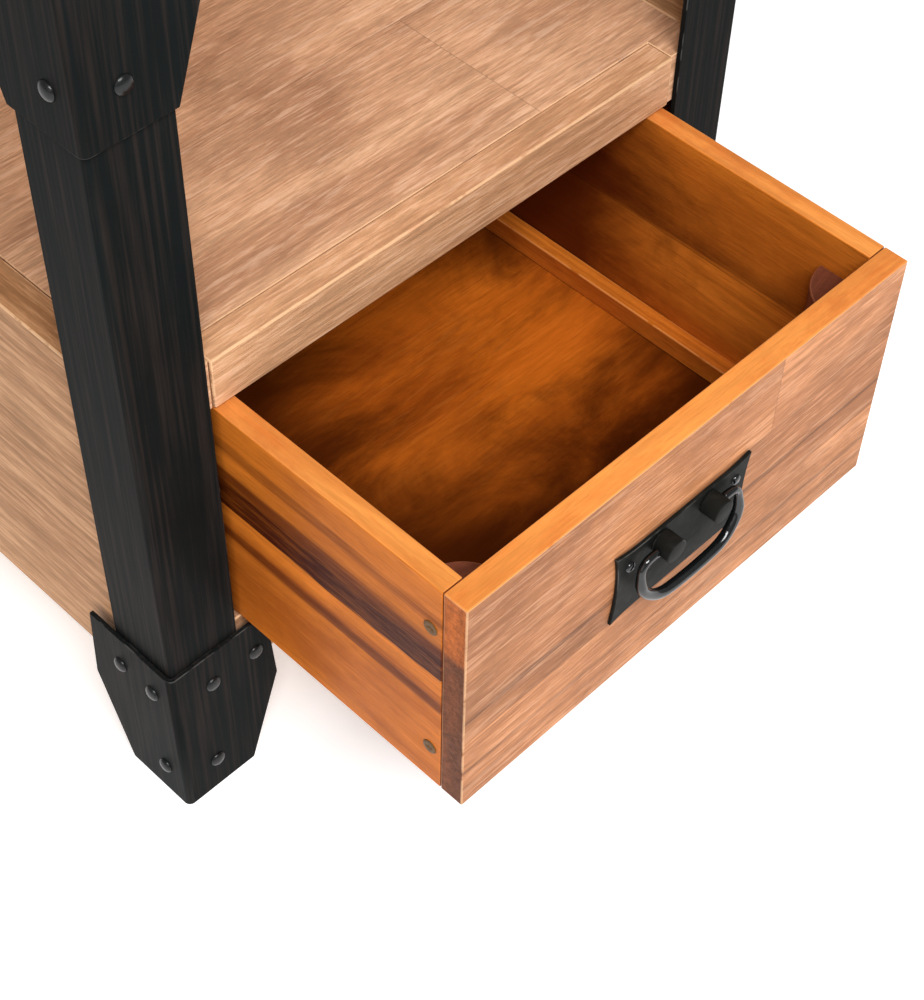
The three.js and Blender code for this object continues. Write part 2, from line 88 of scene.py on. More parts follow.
class Graph:
    """Adds nodes to a shader tree and joins them."""

    def __init__(self, tree: bpy.types.NodeTree) -> None:
        """Keeps the tree that the nodes go into."""
        self.tree = tree

    def add(self, kind: str, **settings: object) -> bpy.types.Node:
        """Adds a node.

        Args:
            kind: the node's type name.
            settings: properties to set on the node.

        Returns:
            The new node.
        """
        node = self.tree.nodes.new(kind)
        for name, value in settings.items():
            setattr(node, name, value)
        return node

    def feed(self, socket: bpy.types.NodeSocket, value: object) -> None:
        """Joins a socket to another, or sets its own value.

        Args:
            socket: the input to feed.
            value: a socket to join, or a plain value.
        """
        if isinstance(value, bpy.types.NodeSocket):
            self.tree.links.new(value, socket)
        else:
            socket.default_value = value

    def math(self, operation: str, first: Value, second: Value = 0.0,
             third: Value = 0.0) -> bpy.types.NodeSocket:
        """Works out one sum.

        Args:
            operation: the Math node's operation.
            first: the first value.
            second: the second value.
            third: the third value, for the operations that take one.

        Returns:
            The result's socket.
        """
        node = self.add("ShaderNodeMath", operation=operation)
        for place, value in enumerate((first, second, third)):
            self.feed(node.inputs[place], value)
        return node.outputs[0]

    def combine(self, x: Value, y: Value, z: Value) -> bpy.types.NodeSocket:
        """Makes a vector of three values."""
        node = self.add("ShaderNodeCombineXYZ")
        for place, value in enumerate((x, y, z)):
            self.feed(node.inputs[place], value)
        return node.outputs[0]

    def stretch(self, vector: bpy.types.NodeSocket, scale: Tint) -> bpy.types.NodeSocket:
        """Multiplies a vector part by part."""
        node = self.add("ShaderNodeVectorMath", operation="MULTIPLY")
        self.feed(node.inputs[0], vector)
        self.feed(node.inputs[1], scale)
        return node.outputs[0]

    def noise(self, vector: bpy.types.NodeSocket, detail: float = 2.0, roughness: float = 0.5,
              distortion: float = 0.0) -> bpy.types.NodeSocket:
        """Samples smooth noise whose grains are one unit of the vector.

        Args:
            vector: where to sample it.
            detail: how many finer layers are added.
            roughness: how strong the finer layers are.
            distortion: how far the pattern is pulled about.

        Returns:
            The noise, from 0 to 1.
        """
        node = self.add("ShaderNodeTexNoise")
        self.feed(node.inputs["Vector"], vector)
        self.feed(node.inputs["Scale"], 1.0)
        self.feed(node.inputs["Detail"], detail)
        self.feed(node.inputs["Roughness"], roughness)
        self.feed(node.inputs["Distortion"], distortion)
        return node.outputs["Fac"]

    def smooth(self, value: Value, low: float, high: float, start: float = 0.0,
               end: float = 1.0) -> bpy.types.NodeSocket:
        """Turns a range of a value into a soft step.

        Args:
            value: the value to read.
            low: where the step starts.
            high: where the step ends.
            start: the result below the step.
            end: the result above the step.

        Returns:
            The stepped value.
        """
        node = self.add("ShaderNodeMapRange", interpolation_type="SMOOTHSTEP")
        for name, part in (("Value", value), ("From Min", low), ("From Max", high),
                           ("To Min", start), ("To Max", end)):
            self.feed(node.inputs[name], part)
        return node.outputs[0]

    def mix(self, factor: Value, first: object, second: object, mode: str = "MIX") -> bpy.types.NodeSocket:
        """Mixes two colours.

        Args:
            factor: how much of the second colour.
            first: a colour or its socket.
            second: a colour or its socket.
            mode: the way that they mix.

        Returns:
            The mixed colour.
        """
        node = self.add("ShaderNodeMix", data_type="RGBA", blend_type=mode)
        self.feed(node.inputs[0], factor)
        self.feed(node.inputs[6], first)
        self.feed(node.inputs[7], second)
        return node.outputs[2]

    def scale(self, colour: object, factor: Value) -> bpy.types.NodeSocket:
        """Makes a colour lighter or darker by a factor."""
        node = self.add("ShaderNodeVectorMath", operation="SCALE")
        self.feed(node.inputs[0], colour)
        self.feed(node.inputs["Scale"], factor)
        return node.outputs[0]

    def attribute(self, name: str) -> bpy.types.NodeSocket:
        """Reads one of the piece's own attributes as a value."""
        return self.add("ShaderNodeAttribute", attribute_name=name).outputs["Fac"]

    def group(self, tree: bpy.types.NodeTree, **values: object) -> bpy.types.Node:
        """Places a node group.

        Args:
            tree: the group's tree.
            values: its inputs, with an underscore for each space in a name.

        Returns:
            The group's node.
        """
        node = self.add("ShaderNodeGroup")
        node.node_tree = tree
        for name, value in values.items():
            self.feed(node.inputs[name.replace("_", " ")], value)
        return node


class Sockets(Enum):
    """The kinds of socket that the groups use."""

    NUMBER = "NodeSocketFloat"
    VECTOR = "NodeSocketVector"


class GroupMaker:
    """A node group under construction, with its inputs and outputs declared."""

    def __init__(self, name: str, inputs: dict[str, Sockets], outputs: dict[str, Sockets]) -> None:
        """Makes the group and its sockets.

        Args:
            name: the group's name.
            inputs: the names and kinds of its inputs.
            outputs: the names and kinds of its outputs.
        """
        self.tree = bpy.data.node_groups.new(name, "ShaderNodeTree")
        for socket, kind in inputs.items():
            self.tree.interface.new_socket(name=socket, in_out="INPUT", socket_type=kind.value)
        for socket, kind in outputs.items():
            self.tree.interface.new_socket(name=socket, in_out="OUTPUT", socket_type=kind.value)
        self.graph = Graph(self.tree)
        self.given = self.graph.add("NodeGroupInput").outputs
        self.made = self.graph.add("NodeGroupOutput").inputs


def wood_figure() -> bpy.types.NodeTree:
    """Makes the group that figures solid wood glued up from staves.

    Its vector runs along the grain, then across the staves, then through the board, in metres. Bands are the
    irregular growth lines, cut as a saw cuts them, and each stave has its own tree and its own tone.

    Returns:
        The group's tree.
    """
    number = Sockets.NUMBER
    maker = GroupMaker(
        "wood figure",
        {"Vector": Sockets.VECTOR, "Seed": number, "Stave Origin": number, "Stave Width": number,
         "Stave Length": number, "Line Count": number, "Wander": number},
        {"Bands": number, "Fibre": number, "Pores": number, "Patches": number, "Tone": number,
         "Hue": number, "Joint": number})
    g = maker.graph
    given = maker.given
    parts = g.add("ShaderNodeSeparateXYZ")
    g.feed(parts.inputs[0], given["Vector"])
    along, across, through = parts.outputs
    row = g.math("DIVIDE", g.math("SUBTRACT", across, given["Stave Origin"]), given["Stave Width"])
    row_index = g.math("FLOOR", row)
    row_random = g.add("ShaderNodeTexWhiteNoise", noise_dimensions="2D")
    g.feed(row_random.inputs["Vector"], g.combine(row_index, given["Seed"], 0.0))
    run = g.math("ADD", g.math("DIVIDE", along, given["Stave Length"]),
                 g.math("MULTIPLY", row_random.outputs["Value"], 7.0))
    run_index = g.math("FLOOR", run)
    stave_random = g.add("ShaderNodeTexWhiteNoise", noise_dimensions="3D")
    g.feed(stave_random.inputs["Vector"], g.combine(row_index, run_index, given["Seed"]))
    randoms = g.add("ShaderNodeSeparateColor")
    g.feed(randoms.inputs[0], stave_random.outputs["Color"])
    tone, hue, place = randoms.outputs

    seat = g.math("MULTIPLY", g.math("ADD", g.math("SUBTRACT", tone, place), given["Seed"]), 7.3)
    moved = g.combine(g.math("ADD", along, seat), across, through)
    warp = g.math("SUBTRACT", g.noise(g.stretch(moved, (2.2, 9.0, 9.0)), 2.0), 0.5)
    lift = g.math("SUBTRACT", g.noise(g.stretch(moved, (3.1, 6.0, 6.0)), 1.0), 0.5)
    local = g.math("MULTIPLY", g.math("SUBTRACT", g.math("FRACT", row), place), given["Stave Width"])
    side = g.math("MULTIPLY_ADD", warp, given["Wander"], local)
    deep = g.math("MULTIPLY_ADD", lift, given["Wander"], through)
    deep = g.math("ADD", deep, g.math("MULTIPLY", hue, 0.05))
    spread = g.math("SQRT", g.math("ADD", g.math("MULTIPLY", side, side), g.math("MULTIPLY", deep, deep)))
    drift = g.combine(g.math("MULTIPLY", spread, given["Line Count"]),
                      g.math("MULTIPLY", g.math("ADD", along, seat), 2.5), seat)
    g.feed(maker.made["Bands"], g.smooth(g.noise(drift, 3.0, 0.62), 0.36, 0.68))

    fine = g.noise(g.stretch(moved, (55.0, 760.0, 760.0)), 3.0, 0.7)
    coarse = g.noise(g.stretch(moved, (20.0, 240.0, 240.0)), 3.0, 0.65)
    fibre = g.smooth(g.math("MULTIPLY_ADD", coarse, 0.6, g.math("MULTIPLY", fine, 0.4)), 0.34, 0.66)
    g.feed(maker.made["Fibre"], fibre)
    pores = g.noise(g.stretch(moved, (60.0, 850.0, 850.0)), 2.0)
    g.feed(maker.made["Pores"], g.smooth(pores, 0.56, 0.66))
    patches = g.noise(g.stretch(moved, (6.5, 10.0, 10.0)), 6.0, 0.68, 0.3)
    torn = g.math("MULTIPLY_ADD", g.math("SUBTRACT", coarse, 0.5), 0.45, patches)
    g.feed(maker.made["Patches"], g.smooth(torn, 0.44, 0.66))
    g.feed(maker.made["Tone"], tone)
    g.feed(maker.made["Hue"], hue)
    edge = g.math("MULTIPLY", g.math("PINGPONG", row, 0.5), given["Stave Width"])
    end = g.math("MULTIPLY", g.math("PINGPONG", run, 0.5), given["Stave Length"])
    g.feed(maker.made["Joint"], g.smooth(g.math("MINIMUM", edge, end), 0.00015, 0.0006, 1.0, 0.0))
    return maker.tree


def heart_streak() -> bpy.types.NodeTree:
    """Makes the group for one dark streak of heartwood that wanders along a board.

    Its vector runs along the grain, then across it, then through the board, in metres.

    Returns:
        The group's tree.
    """
    number = Sockets.NUMBER
    maker = GroupMaker(
        "heart streak",
        {"Vector": Sockets.VECTOR, "Seed": number, "Low": number, "Rise": number, "High": number,
         "Fall": number},
        {"Mask": number})
    g = maker.graph
    given = maker.given
    parts = g.add("ShaderNodeSeparateXYZ")
    g.feed(parts.inputs[0], given["Vector"])
    along, across, through = parts.outputs
    drift = g.combine(g.math("MULTIPLY", along, 4.0), given["Seed"], g.math("MULTIPLY", through, 8.0))
    slow = g.noise(drift, 3.0)
    fine = g.noise(g.stretch(given["Vector"], (9.0, 190.0, 190.0)), 3.0, 0.6)
    moved = g.math("MULTIPLY_ADD", g.math("SUBTRACT", slow, 0.5), 0.012, across)
    moved = g.math("MULTIPLY_ADD", g.math("SUBTRACT", fine, 0.5), 0.010, moved)
    rise = g.smooth(moved, given["Low"], g.math("ADD", given["Low"], given["Rise"]))
    fall = g.smooth(moved, given["High"], g.math("ADD", given["High"], given["Fall"]), 1.0, 0.0)
    g.feed(maker.made["Mask"], g.math("MULTIPLY", rise, fall))
    return maker.tree


def edge_wear() -> bpy.types.NodeTree:
    """Makes the group that breaks a bevelled edge into worn and unworn stretches.

    Returns:
        The group's tree.
    """
    number = Sockets.NUMBER
    maker = GroupMaker("edge wear",
                       {"Vector": Sockets.VECTOR, "Edge": number, "Scale": number, "Cover": number},
                       {"Mask": number})
    g = maker.graph
    node = g.add("ShaderNodeTexNoise")
    g.feed(node.inputs["Vector"], maker.given["Vector"])
    g.feed(node.inputs["Scale"], maker.given["Scale"])
    g.feed(node.inputs["Detail"], 4.0)
    worn = g.smooth(g.math("ADD", node.outputs["Fac"], maker.given["Cover"]), 0.5, 0.62)
    g.feed(maker.made["Mask"], g.math("MULTIPLY", worn, maker.given["Edge"]))
    return maker.tree


def drawn_metal() -> bpy.types.NodeTree:
    """Makes the group for coated iron: long drawn streaks, a fine tooth and cloudy handling marks.

    Returns:
        The group's tree.
    """
    number = Sockets.NUMBER
    maker = GroupMaker("drawn metal", {"Vector": Sockets.VECTOR, "Across": number, "Along": number},
                       {"Streaks": number, "Tooth": number, "Clouds": number})
    g = maker.graph
    parts = g.add("ShaderNodeSeparateXYZ")
    g.feed(parts.inputs[0], maker.given["Vector"])
    streaks = g.combine(g.math("MULTIPLY", parts.outputs[0], maker.given["Across"]),
                        g.math("MULTIPLY", parts.outputs[1], maker.given["Across"]),
                        g.math("MULTIPLY", parts.outputs[2], maker.given["Along"]))
    g.feed(maker.made["Streaks"], g.noise(streaks, 3.0, 0.6))
    g.feed(maker.made["Tooth"], g.noise(g.stretch(maker.given["Vector"], (2400.0, 2400.0, 2400.0)), 2.0))
    g.feed(maker.made["Clouds"], g.noise(g.stretch(maker.given["Vector"], (28.0, 28.0, 16.0)), 3.0, 0.55))
    return maker.tree


# ---------------------------------------------------------------- finishes


class Grain(Enum):
    """Which way a board lies: along its grain, across its staves, then through it."""

    X_ACROSS_Y = "XYZ"
    X_ACROSS_Z = "XZY"
    Y_ACROSS_X = "YXZ"
    Y_ACROSS_Z = "YZX"
    Z_ACROSS_X = "ZXY"

    def along(self) -> int:
        """Gives the axis that the grain runs along, as 0, 1 or 2."""
        return "XYZ".index(self.value[0])


@dataclass(frozen=True)
class Streak:
    """A dark streak along a board: where it lies across the grain, how soft its edges are."""

    low: float
    rise: float
    high: float
    fall: float
    share: float
    tint: Tint = (70, 28, 12)


@dataclass(frozen=True)
class WoodFinish:
    """One way that a board is figured, stained and sealed, as it stands a wire-brushed and limed board."""

    name: str
    slot: str = "tan_wood"
    grain: Grain = Grain.X_ACROSS_Y
    light: Tint = (222, 170, 128)
    dark: Tint = (176, 120, 84)
    patch: Tint = (146, 103, 76)
    pale: Tint = (236, 204, 176)
    arris: Tint = (236, 190, 146)
    end: Tint = (120, 74, 50)
    stave_origin: float = 0.0
    stave_width: float = 0.07
    stave_length: float = 0.9
    line_count: float = 170.0
    wander: float = 0.012
    band_share: float = 0.6
    patch_share: float = 0.5
    pale_share: float = 0.35
    pore_share: float = 0.5
    tone_share: float = 0.14
    fibre_share: float = 0.6
    joint_share: float = 0.3
    arris_cover: float = 0.16
    arris_share: float = 0.8
    end_share: float = 0.55
    end_clear: float = 9.0
    end_top: Tint = (176, 92, 34)
    roughness: float = 0.5
    coat: float = 0.0
    coat_ior: float = 1.5
    ior: float = 1.25
    specular: float = 0.4
    relief: float = 0.0003
    streaks: tuple[Streak, ...] = ()
    # the last fields set a clouded figure and painted shade: away from a lit centre the colour turns to a
    # dark tint standing in for shade, and the same dark tint also darkens the clouds of the figure
    cloud_share: float = 0.0
    lit_centre: tuple[float, float] = (0.0, 0.0)
    shade_reach: tuple[float, float] = (0.04, 0.13)
    shade_share: float = 0.95
    cloud_and_shade: Tint = (78, 28, 8)
    glow: Tint = (214, 110, 30)

    def material(self, groups: "Groups") -> bpy.types.Material:
        """Builds the wood's material.

        Args:
            groups: the shared node groups.

        Returns:
            The material.
        """
        made = bpy.data.materials.new(self.name)
        made.use_nodes = True
        g = Graph(made.node_tree)
        shader = made.node_tree.nodes["Principled BSDF"]
        place = g.add("ShaderNodeTexCoord").outputs["Object"]
        parts = g.add("ShaderNodeSeparateXYZ")
        g.feed(parts.inputs[0], place)
        turned = g.combine(*[parts.outputs["XYZ".index(axis)] for axis in self.grain.value])
        figure = g.group(groups.figure, Vector=turned, Seed=g.attribute("plank"),
                         Stave_Origin=self.stave_origin, Stave_Width=self.stave_width,
                         Stave_Length=self.stave_length, Line_Count=self.line_count,
                         Wander=self.wander).outputs
        bands = g.math("MULTIPLY", figure["Bands"], self.band_share)
        colour = g.mix(bands, linear(self.light), linear(self.dark))
        colour = g.mix(g.math("MULTIPLY", figure["Patches"], self.patch_share), colour, linear(self.patch))
        tone = g.math("MULTIPLY_ADD", figure["Tone"], self.tone_share, 1.0 - self.tone_share / 2)
        fibre = g.math("MULTIPLY_ADD", figure["Fibre"], self.fibre_share, 1.0 - self.fibre_share / 2)
        colour = g.scale(colour, g.math("MULTIPLY", tone, fibre))
        limed = g.math("MULTIPLY", g.smooth(figure["Fibre"], 0.55, 0.95), self.pale_share)
        colour = g.mix(limed, colour, linear(self.pale))
        colour = g.mix(g.math("MULTIPLY", figure["Pores"], self.pore_share), colour, linear(self.dark))
        if self.cloud_share:  # clouded figure, then painted shade that darkens the wood away from a lit centre
            clouds = g.noise(g.stretch(turned, (9.0, 16.0, 16.0)), 6.0, 0.66, 0.6)
            colour = g.mix(g.smooth(clouds, 0.46, 0.72, 0.0, self.cloud_share), colour, linear(self.cloud_and_shade))
            colour = g.mix(g.smooth(clouds, 0.50, 0.30, 0.0, self.cloud_share), colour, linear(self.glow))
            # painted shade: away from the lit centre the colour turns to the dark cloud tint, standing in
            # for the shade that the walls and the shelf cast
            side = g.math("SUBTRACT", parts.outputs["X"], self.lit_centre[0])
            deep = g.math("SUBTRACT", parts.outputs["Y"], self.lit_centre[1])
            distance_from_lit_centre = g.math("SQRT", g.math("MULTIPLY_ADD", side, side, g.math("MULTIPLY", deep, deep)))
            distance_from_lit_centre = g.math("MULTIPLY_ADD", g.math("SUBTRACT", clouds, 0.5), 0.12, distance_from_lit_centre)
            far = g.smooth(distance_from_lit_centre, *self.shade_reach, 0.0, self.shade_share)
            colour = g.mix(far, colour, linear(self.cloud_and_shade))
        for number, streak in enumerate(self.streaks):
            heart = g.group(groups.heart, Vector=turned, Seed=1.7 * number, Low=streak.low, Rise=streak.rise,
                            High=streak.high, Fall=streak.fall).outputs["Mask"]
            share = g.math("MULTIPLY", heart, g.math("MULTIPLY_ADD", figure["Fibre"], -0.3, 1.15))
            colour = g.mix(g.math("MULTIPLY", share, streak.share), colour, linear(streak.tint))
        sealed = g.smooth(parts.outputs["Z"], self.end_clear - 0.003, self.end_clear + 0.006)
        ends = g.mix(sealed, linear(self.end), linear(self.end_top))
        rings = g.math("MULTIPLY_ADD", figure["Bands"], -0.35, 1.15)
        ended = g.scale(ends, g.math("MULTIPLY", rings, fibre))
        colour = g.mix(g.math("MULTIPLY", g.attribute("end"), self.end_share), colour, ended)
        colour = g.mix(g.math("MULTIPLY", figure["Joint"], self.joint_share), colour, g.scale(colour, 0.45))
        worn = g.group(groups.wear, Vector=place, Edge=g.attribute("arris"), Scale=90.0,
                       Cover=self.arris_cover).outputs["Mask"]
        colour = g.mix(g.math("MULTIPLY", worn, self.arris_share), colour, linear(self.arris))
        g.feed(shader.inputs["Base Color"], colour)
        dull = g.math("MULTIPLY_ADD", figure["Fibre"], -0.14, self.roughness + 0.07)
        g.feed(shader.inputs["Roughness"], g.math("MULTIPLY_ADD", figure["Patches"], 0.06, dull))
        shader.inputs["Coat Weight"].default_value = self.coat
        shader.inputs["Coat Roughness"].default_value = 0.18
        shader.inputs["Coat IOR"].default_value = self.coat_ior
        shader.inputs["IOR"].default_value = self.ior
        shader.inputs["Specular IOR Level"].default_value = self.specular
        height = g.math("MULTIPLY_ADD", figure["Bands"], -0.3, figure["Fibre"])
        height = g.math("MULTIPLY_ADD", figure["Pores"], -0.5, height)
        height = g.math("MULTIPLY_ADD", figure["Joint"], -0.9, height)
        bump = g.add("ShaderNodeBump")
        bump.inputs["Strength"].default_value = 0.55
        bump.inputs["Distance"].default_value = self.relief
        g.feed(bump.inputs["Height"], height)
        g.feed(shader.inputs["Normal"], bump.outputs[0])
        return made


@dataclass(frozen=True)
class IronFinish:
    """One coat on an iron piece."""

    name: str
    slot: str
    coat: Tint
    streak: Tint
    bare: Tint
    across: float = 420.0
    along: float = 9.0
    streak_share: float = 0.6
    wear_cover: float = -0.03
    roughness: float = 0.42
    metallic: float = 0.0
    ior: float = 1.08
    specular: float = 0.5
    relief: float = 0.00012

    def material(self, groups: "Groups") -> bpy.types.Material:
        """Builds the coated iron's material.

        Args:
            groups: the shared node groups.

        Returns:
            The material.
        """
        made = bpy.data.materials.new(self.name)
        made.use_nodes = True
        g = Graph(made.node_tree)
        shader = made.node_tree.nodes["Principled BSDF"]
        place = g.add("ShaderNodeTexCoord").outputs["Object"]
        drawn = g.group(groups.metal, Vector=place, Across=self.across, Along=self.along).outputs
        streak = g.math("MULTIPLY", g.smooth(drawn["Streaks"], 0.4, 0.72), self.streak_share)
        colour = g.mix(streak, linear(self.coat), linear(self.streak))
        colour = g.scale(colour, g.math("MULTIPLY_ADD", drawn["Clouds"], 0.7, 0.65))
        worn = g.group(groups.wear, Vector=place, Edge=g.attribute("arris"), Scale=70.0,
                       Cover=self.wear_cover).outputs["Mask"]
        colour = g.mix(g.math("MULTIPLY", worn, 0.7), colour, linear(self.bare))
        g.feed(shader.inputs["Base Color"], colour)
        rough = g.math("MULTIPLY_ADD", drawn["Clouds"], 0.2, self.roughness - 0.1)
        g.feed(shader.inputs["Roughness"], g.math("MULTIPLY_ADD", drawn["Streaks"], -0.12, rough))
        shader.inputs["Metallic"].default_value = self.metallic
        shader.inputs["IOR"].default_value = self.ior
        shader.inputs["Specular IOR Level"].default_value = self.specular
        bump = g.add("ShaderNodeBump")
        bump.inputs["Strength"].default_value = 0.35
        bump.inputs["Distance"].default_value = self.relief
        g.feed(bump.inputs["Height"], g.math("MULTIPLY_ADD", drawn["Tooth"], 0.5, drawn["Streaks"]))
        g.feed(shader.inputs["Normal"], bump.outputs[0])
        return made


@dataclass(frozen=True)
class Groups:
    """The shared node groups."""

    figure: bpy.types.NodeTree
    heart: bpy.types.NodeTree
    wear: bpy.types.NodeTree
    metal: bpy.types.NodeTree


@dataclass(frozen=True)
class OiledOrange(WoodFinish):
    """Oiled and varnished boards: the drawer's box."""

    slot: str = "orange_wood"
    end_share: float = 0.85
    light: Tint = (226, 128, 42)
    dark: Tint = (150, 68, 16)
    patch: Tint = (96, 38, 12)
    pale: Tint = (240, 150, 62)
    arris: Tint = (246, 164, 92)
    arris_share: float = 0.45
    end: Tint = (112, 56, 28)
    roughness: float = 0.34
    coat: float = 0.1
    coat_ior: float = 1.2
    ior: float = 1.12
    pale_share: float = 0.1
    fibre_share: float = 0.24
    pore_share: float = 0.3
    specular: float = 0.5
    relief: float = 0.00012


Finish = Union[WoodFinish, IronFinish]


class Palette:
    """Builds each material the first time that it is asked for."""

    def __init__(self) -> None:
        """Builds the shared node groups."""
        self.groups = Groups(wood_figure(), heart_streak(), edge_wear(), drawn_metal())
        self.made: dict[str, bpy.types.Material] = {}

    def material(self, finish: Finish) -> bpy.types.Material:
        """Gives a finish's material.

        Args:
            finish: the finish.

        Returns:
            Its material, built once.
        """
        if finish.name not in self.made:
            self.made[finish.name] = finish.material(self.groups)
        return self.made[finish.name]


class Finishes:
    """Every finish on the table."""

    SHELF = WoodFinish("brushed boards, shelf", grain=Grain.X_ACROSS_Y, patch_share=0.6, stave_width=0.1,
                       stave_length=3.0, light=(232, 182, 142), dark=(184, 130, 96), stave_origin=-0.099)
    STRIP = WoodFinish("brushed boards, strip", grain=Grain.X_ACROSS_Z, patch_share=0.2, stave_width=0.2,
                       stave_length=3.0, light=(230, 176, 132), dark=(194, 138, 98))
    TOP = WoodFinish("brushed boards, top", grain=Grain.X_ACROSS_Y, stave_width=0.082, patch_share=0.6,
                     light=(226, 178, 140), dark=(186, 134, 100))
    CASE = WoodFinish("brushed boards, case", grain=Grain.Y_ACROSS_Z, stave_width=0.12, stave_origin=0.07,
                      light=(190, 141, 99), dark=(156, 108, 68), pale=(206, 164, 124), patch_share=0.25)
    CASE_CROSS = WoodFinish("brushed boards, case front and back", grain=Grain.X_ACROSS_Z, stave_width=0.08)
    FACE = WoodFinish("brushed boards, drawer face", grain=Grain.X_ACROSS_Z, stave_origin=0.1197,
                      stave_width=0.0507, light=(214, 146, 98), dark=(166, 106, 68), patch=(120, 80, 58),
                      patch_share=0.55, pale=(228, 180, 140), pale_share=0.25, arris_share=0.45,
                      end=(112, 60, 30), end_clear=0.229, end_top=(176, 92, 34), end_share=1.0,
                      streaks=(Streak(0.1860, 0.002, 0.1885, 0.002, 0.6, (92, 58, 40)),
                               Streak(0.1440, 0.002, 0.1460, 0.003, 0.5, (92, 58, 40)),
                               Streak(0.1290, 0.003, 0.1320, 0.003, 0.35, (112, 72, 50))))
    SIDE = OiledOrange("oiled boards, drawer sides", grain=Grain.Y_ACROSS_Z, stave_origin=0.205,
                       stave_width=0.09, stave_length=3.0, patch_share=0.3,
                       streaks=(Streak(0.205, 0.001, 0.219, 0.024, 0.95, (64, 20, 6)),
                                Streak(0.223, 0.003, 0.229, 0.006, 0.6, (84, 30, 10)),
                                Streak(0.180, 0.004, 0.187, 0.006, 0.7, (74, 24, 8)),
                                Streak(0.156, 0.003, 0.160, 0.005, 0.15, (110, 46, 14)),
                                Streak(0.243, 0.004, 0.248, 0.006, 0.5, (84, 32, 10))))
    # painted shade: this side darkens towards the back, in the shelf's shade, away from a lit centre near
    # its front
    SIDE_RIGHT = OiledOrange("oiled boards, right drawer side", grain=Grain.Y_ACROSS_Z, stave_origin=0.205,
                             stave_width=0.09, stave_length=0.4, patch_share=0.3, joint_share=0.6,
                             light=(236, 138, 46), dark=(168, 80, 20), cloud_share=0.2, cloud_and_shade=(84, 30, 8),
                             lit_centre=(0.146, -0.20),
                             streaks=(Streak(0.206, 0.001, 0.210, 0.012, 0.5, (84, 30, 10)),))
    CROSS = OiledOrange("oiled boards, drawer front and back", grain=Grain.X_ACROSS_Z, stave_width=0.09,
                        stave_origin=0.205, patch_share=0.2)
    # painted light: a lighter copy of the oiled finish for the faces that look up, where light from above
    # falls on the top edges
    LIT_TOP_EDGE_Y = OiledOrange("oiled boards, top edges of the sides", grain=Grain.Y_ACROSS_X, stave_width=0.5,
                         stave_length=3.0, stave_origin=-0.3, light=(252, 164, 82), dark=(206, 118, 52),
                         patch=(186, 84, 36), patch_share=0.5)
    LIT_TOP_EDGE_X = replace(LIT_TOP_EDGE_Y, name="oiled boards, top edges of the front", grain=Grain.X_ACROSS_Y)
    # painted shade: the drawer bottom darkens away from a lit centre, towards the front, the walls and the
    # shelf, where shade falls
    FLOOR = OiledOrange("oiled panel, drawer bottom", slot="dark_wood", grain=Grain.X_ACROSS_Y,
                        light=(218, 114, 30), dark=(158, 68, 14), patch=(106, 44, 10), stave_width=0.5,
                        stave_length=3.0, patch_share=0.5, line_count=60.0, wander=0.07, stave_origin=-0.3,
                        cloud_share=0.45, cloud_and_shade=(72, 28, 5), lit_centre=(0.05, -0.075))
    BLOCK = OiledOrange("dark corner block", slot="dark_wood", grain=Grain.Z_ACROSS_X, light=(132, 72, 50),
                        dark=(88, 44, 30), patch=(70, 34, 24), arris=(170, 104, 72), pale=(160, 96, 66),
                        end=(112, 62, 44), stave_width=0.2)
    PLAIN_Y = WoodFinish("sawn runners", slot="plain_wood", grain=Grain.Y_ACROSS_Z, light=(206, 168, 120),
                         dark=(168, 126, 82), patch_share=0.2, roughness=0.68, stave_width=0.2)
    PLAIN_X = replace(PLAIN_Y, name="sawn panel", grain=Grain.X_ACROSS_Y, stave_width=0.12)
    IRON = IronFinish("black iron", "black_iron", coat=(23, 26, 26), streak=(50, 42, 39), bare=(84, 84, 82),
                      ior=1.06)
    RIVET = IronFinish("rivet iron", "black_iron", coat=(18, 20, 20), streak=(30, 29, 28), bare=(66, 66, 64),
                       roughness=0.34, ior=1.4)
    PLATE = IronFinish("pull plate iron", "pull_iron", coat=(26, 27, 25), streak=(38, 38, 36),
                       bare=(84, 84, 82), across=160.0, along=160.0, roughness=0.5, ior=1.12)
    PULL = IronFinish("pull iron", "pull_iron", coat=(15, 16, 17), streak=(24, 25, 26), bare=(84, 86, 88),
                      across=160.0, along=160.0, roughness=0.18, ior=1.6)
    SCREW = IronFinish("screw steel", "screw_steel", coat=(98, 68, 36), streak=(124, 92, 54),
                       bare=(140, 108, 70), across=500.0, along=500.0, roughness=0.55, ior=1.3)


# ---------------------------------------------------------------- pieces in general


def body_of(node: str) -> str:
    """Finds the body that a CAD node rides on.

    Args:
        node: the node's name.

    Returns:
        The body's name.
    """
    bodies = FRAME["record"]["behaviour"]["bodies"]
    return next(body for body, members in bodies.items() if node in members)


def bevel(shape: Shape, edges: Sequence[bmesh.types.BMEdge], width: float, segments: int) -> list:
    """Rounds some edges.

    Args:
        shape: the bmesh.
        edges: the edges to round.
        width: how wide the bevel is.
        segments: how many steps it has.

    Returns:
        The bevel's faces.
    """
    made = bmesh.ops.bevel(shape, geom=list(edges), offset=width, offset_type="OFFSET", segments=segments,
                           profile=0.5, affect="EDGES", material=-1, clamp_overlap=True)
    for face in made["faces"]:
        face.smooth = True
    return made["faces"]


def sharp_edges(shape: Shape, angle: float = 35.0) -> list:
    """Finds the edges where two faces meet at more than an angle in degrees."""
    limit = math.radians(angle)
    return [edge for edge in shape.edges if edge.is_manifold and edge.calc_face_angle(0.0) > limit]


def ease(shape: Shape, width: float, segments: int = 2) -> None:
    """Eases every sharp edge and marks the new faces as edges that wear.

    Args:
        shape: the bmesh.
        width: how wide the easing is.
        segments: how many steps it has.
    """
    layer = shape.loops.layers.float.new("arris")
    for face in bevel(shape, sharp_edges(shape), width, segments):
        for loop in face.loops:
            loop[layer] = 1.0


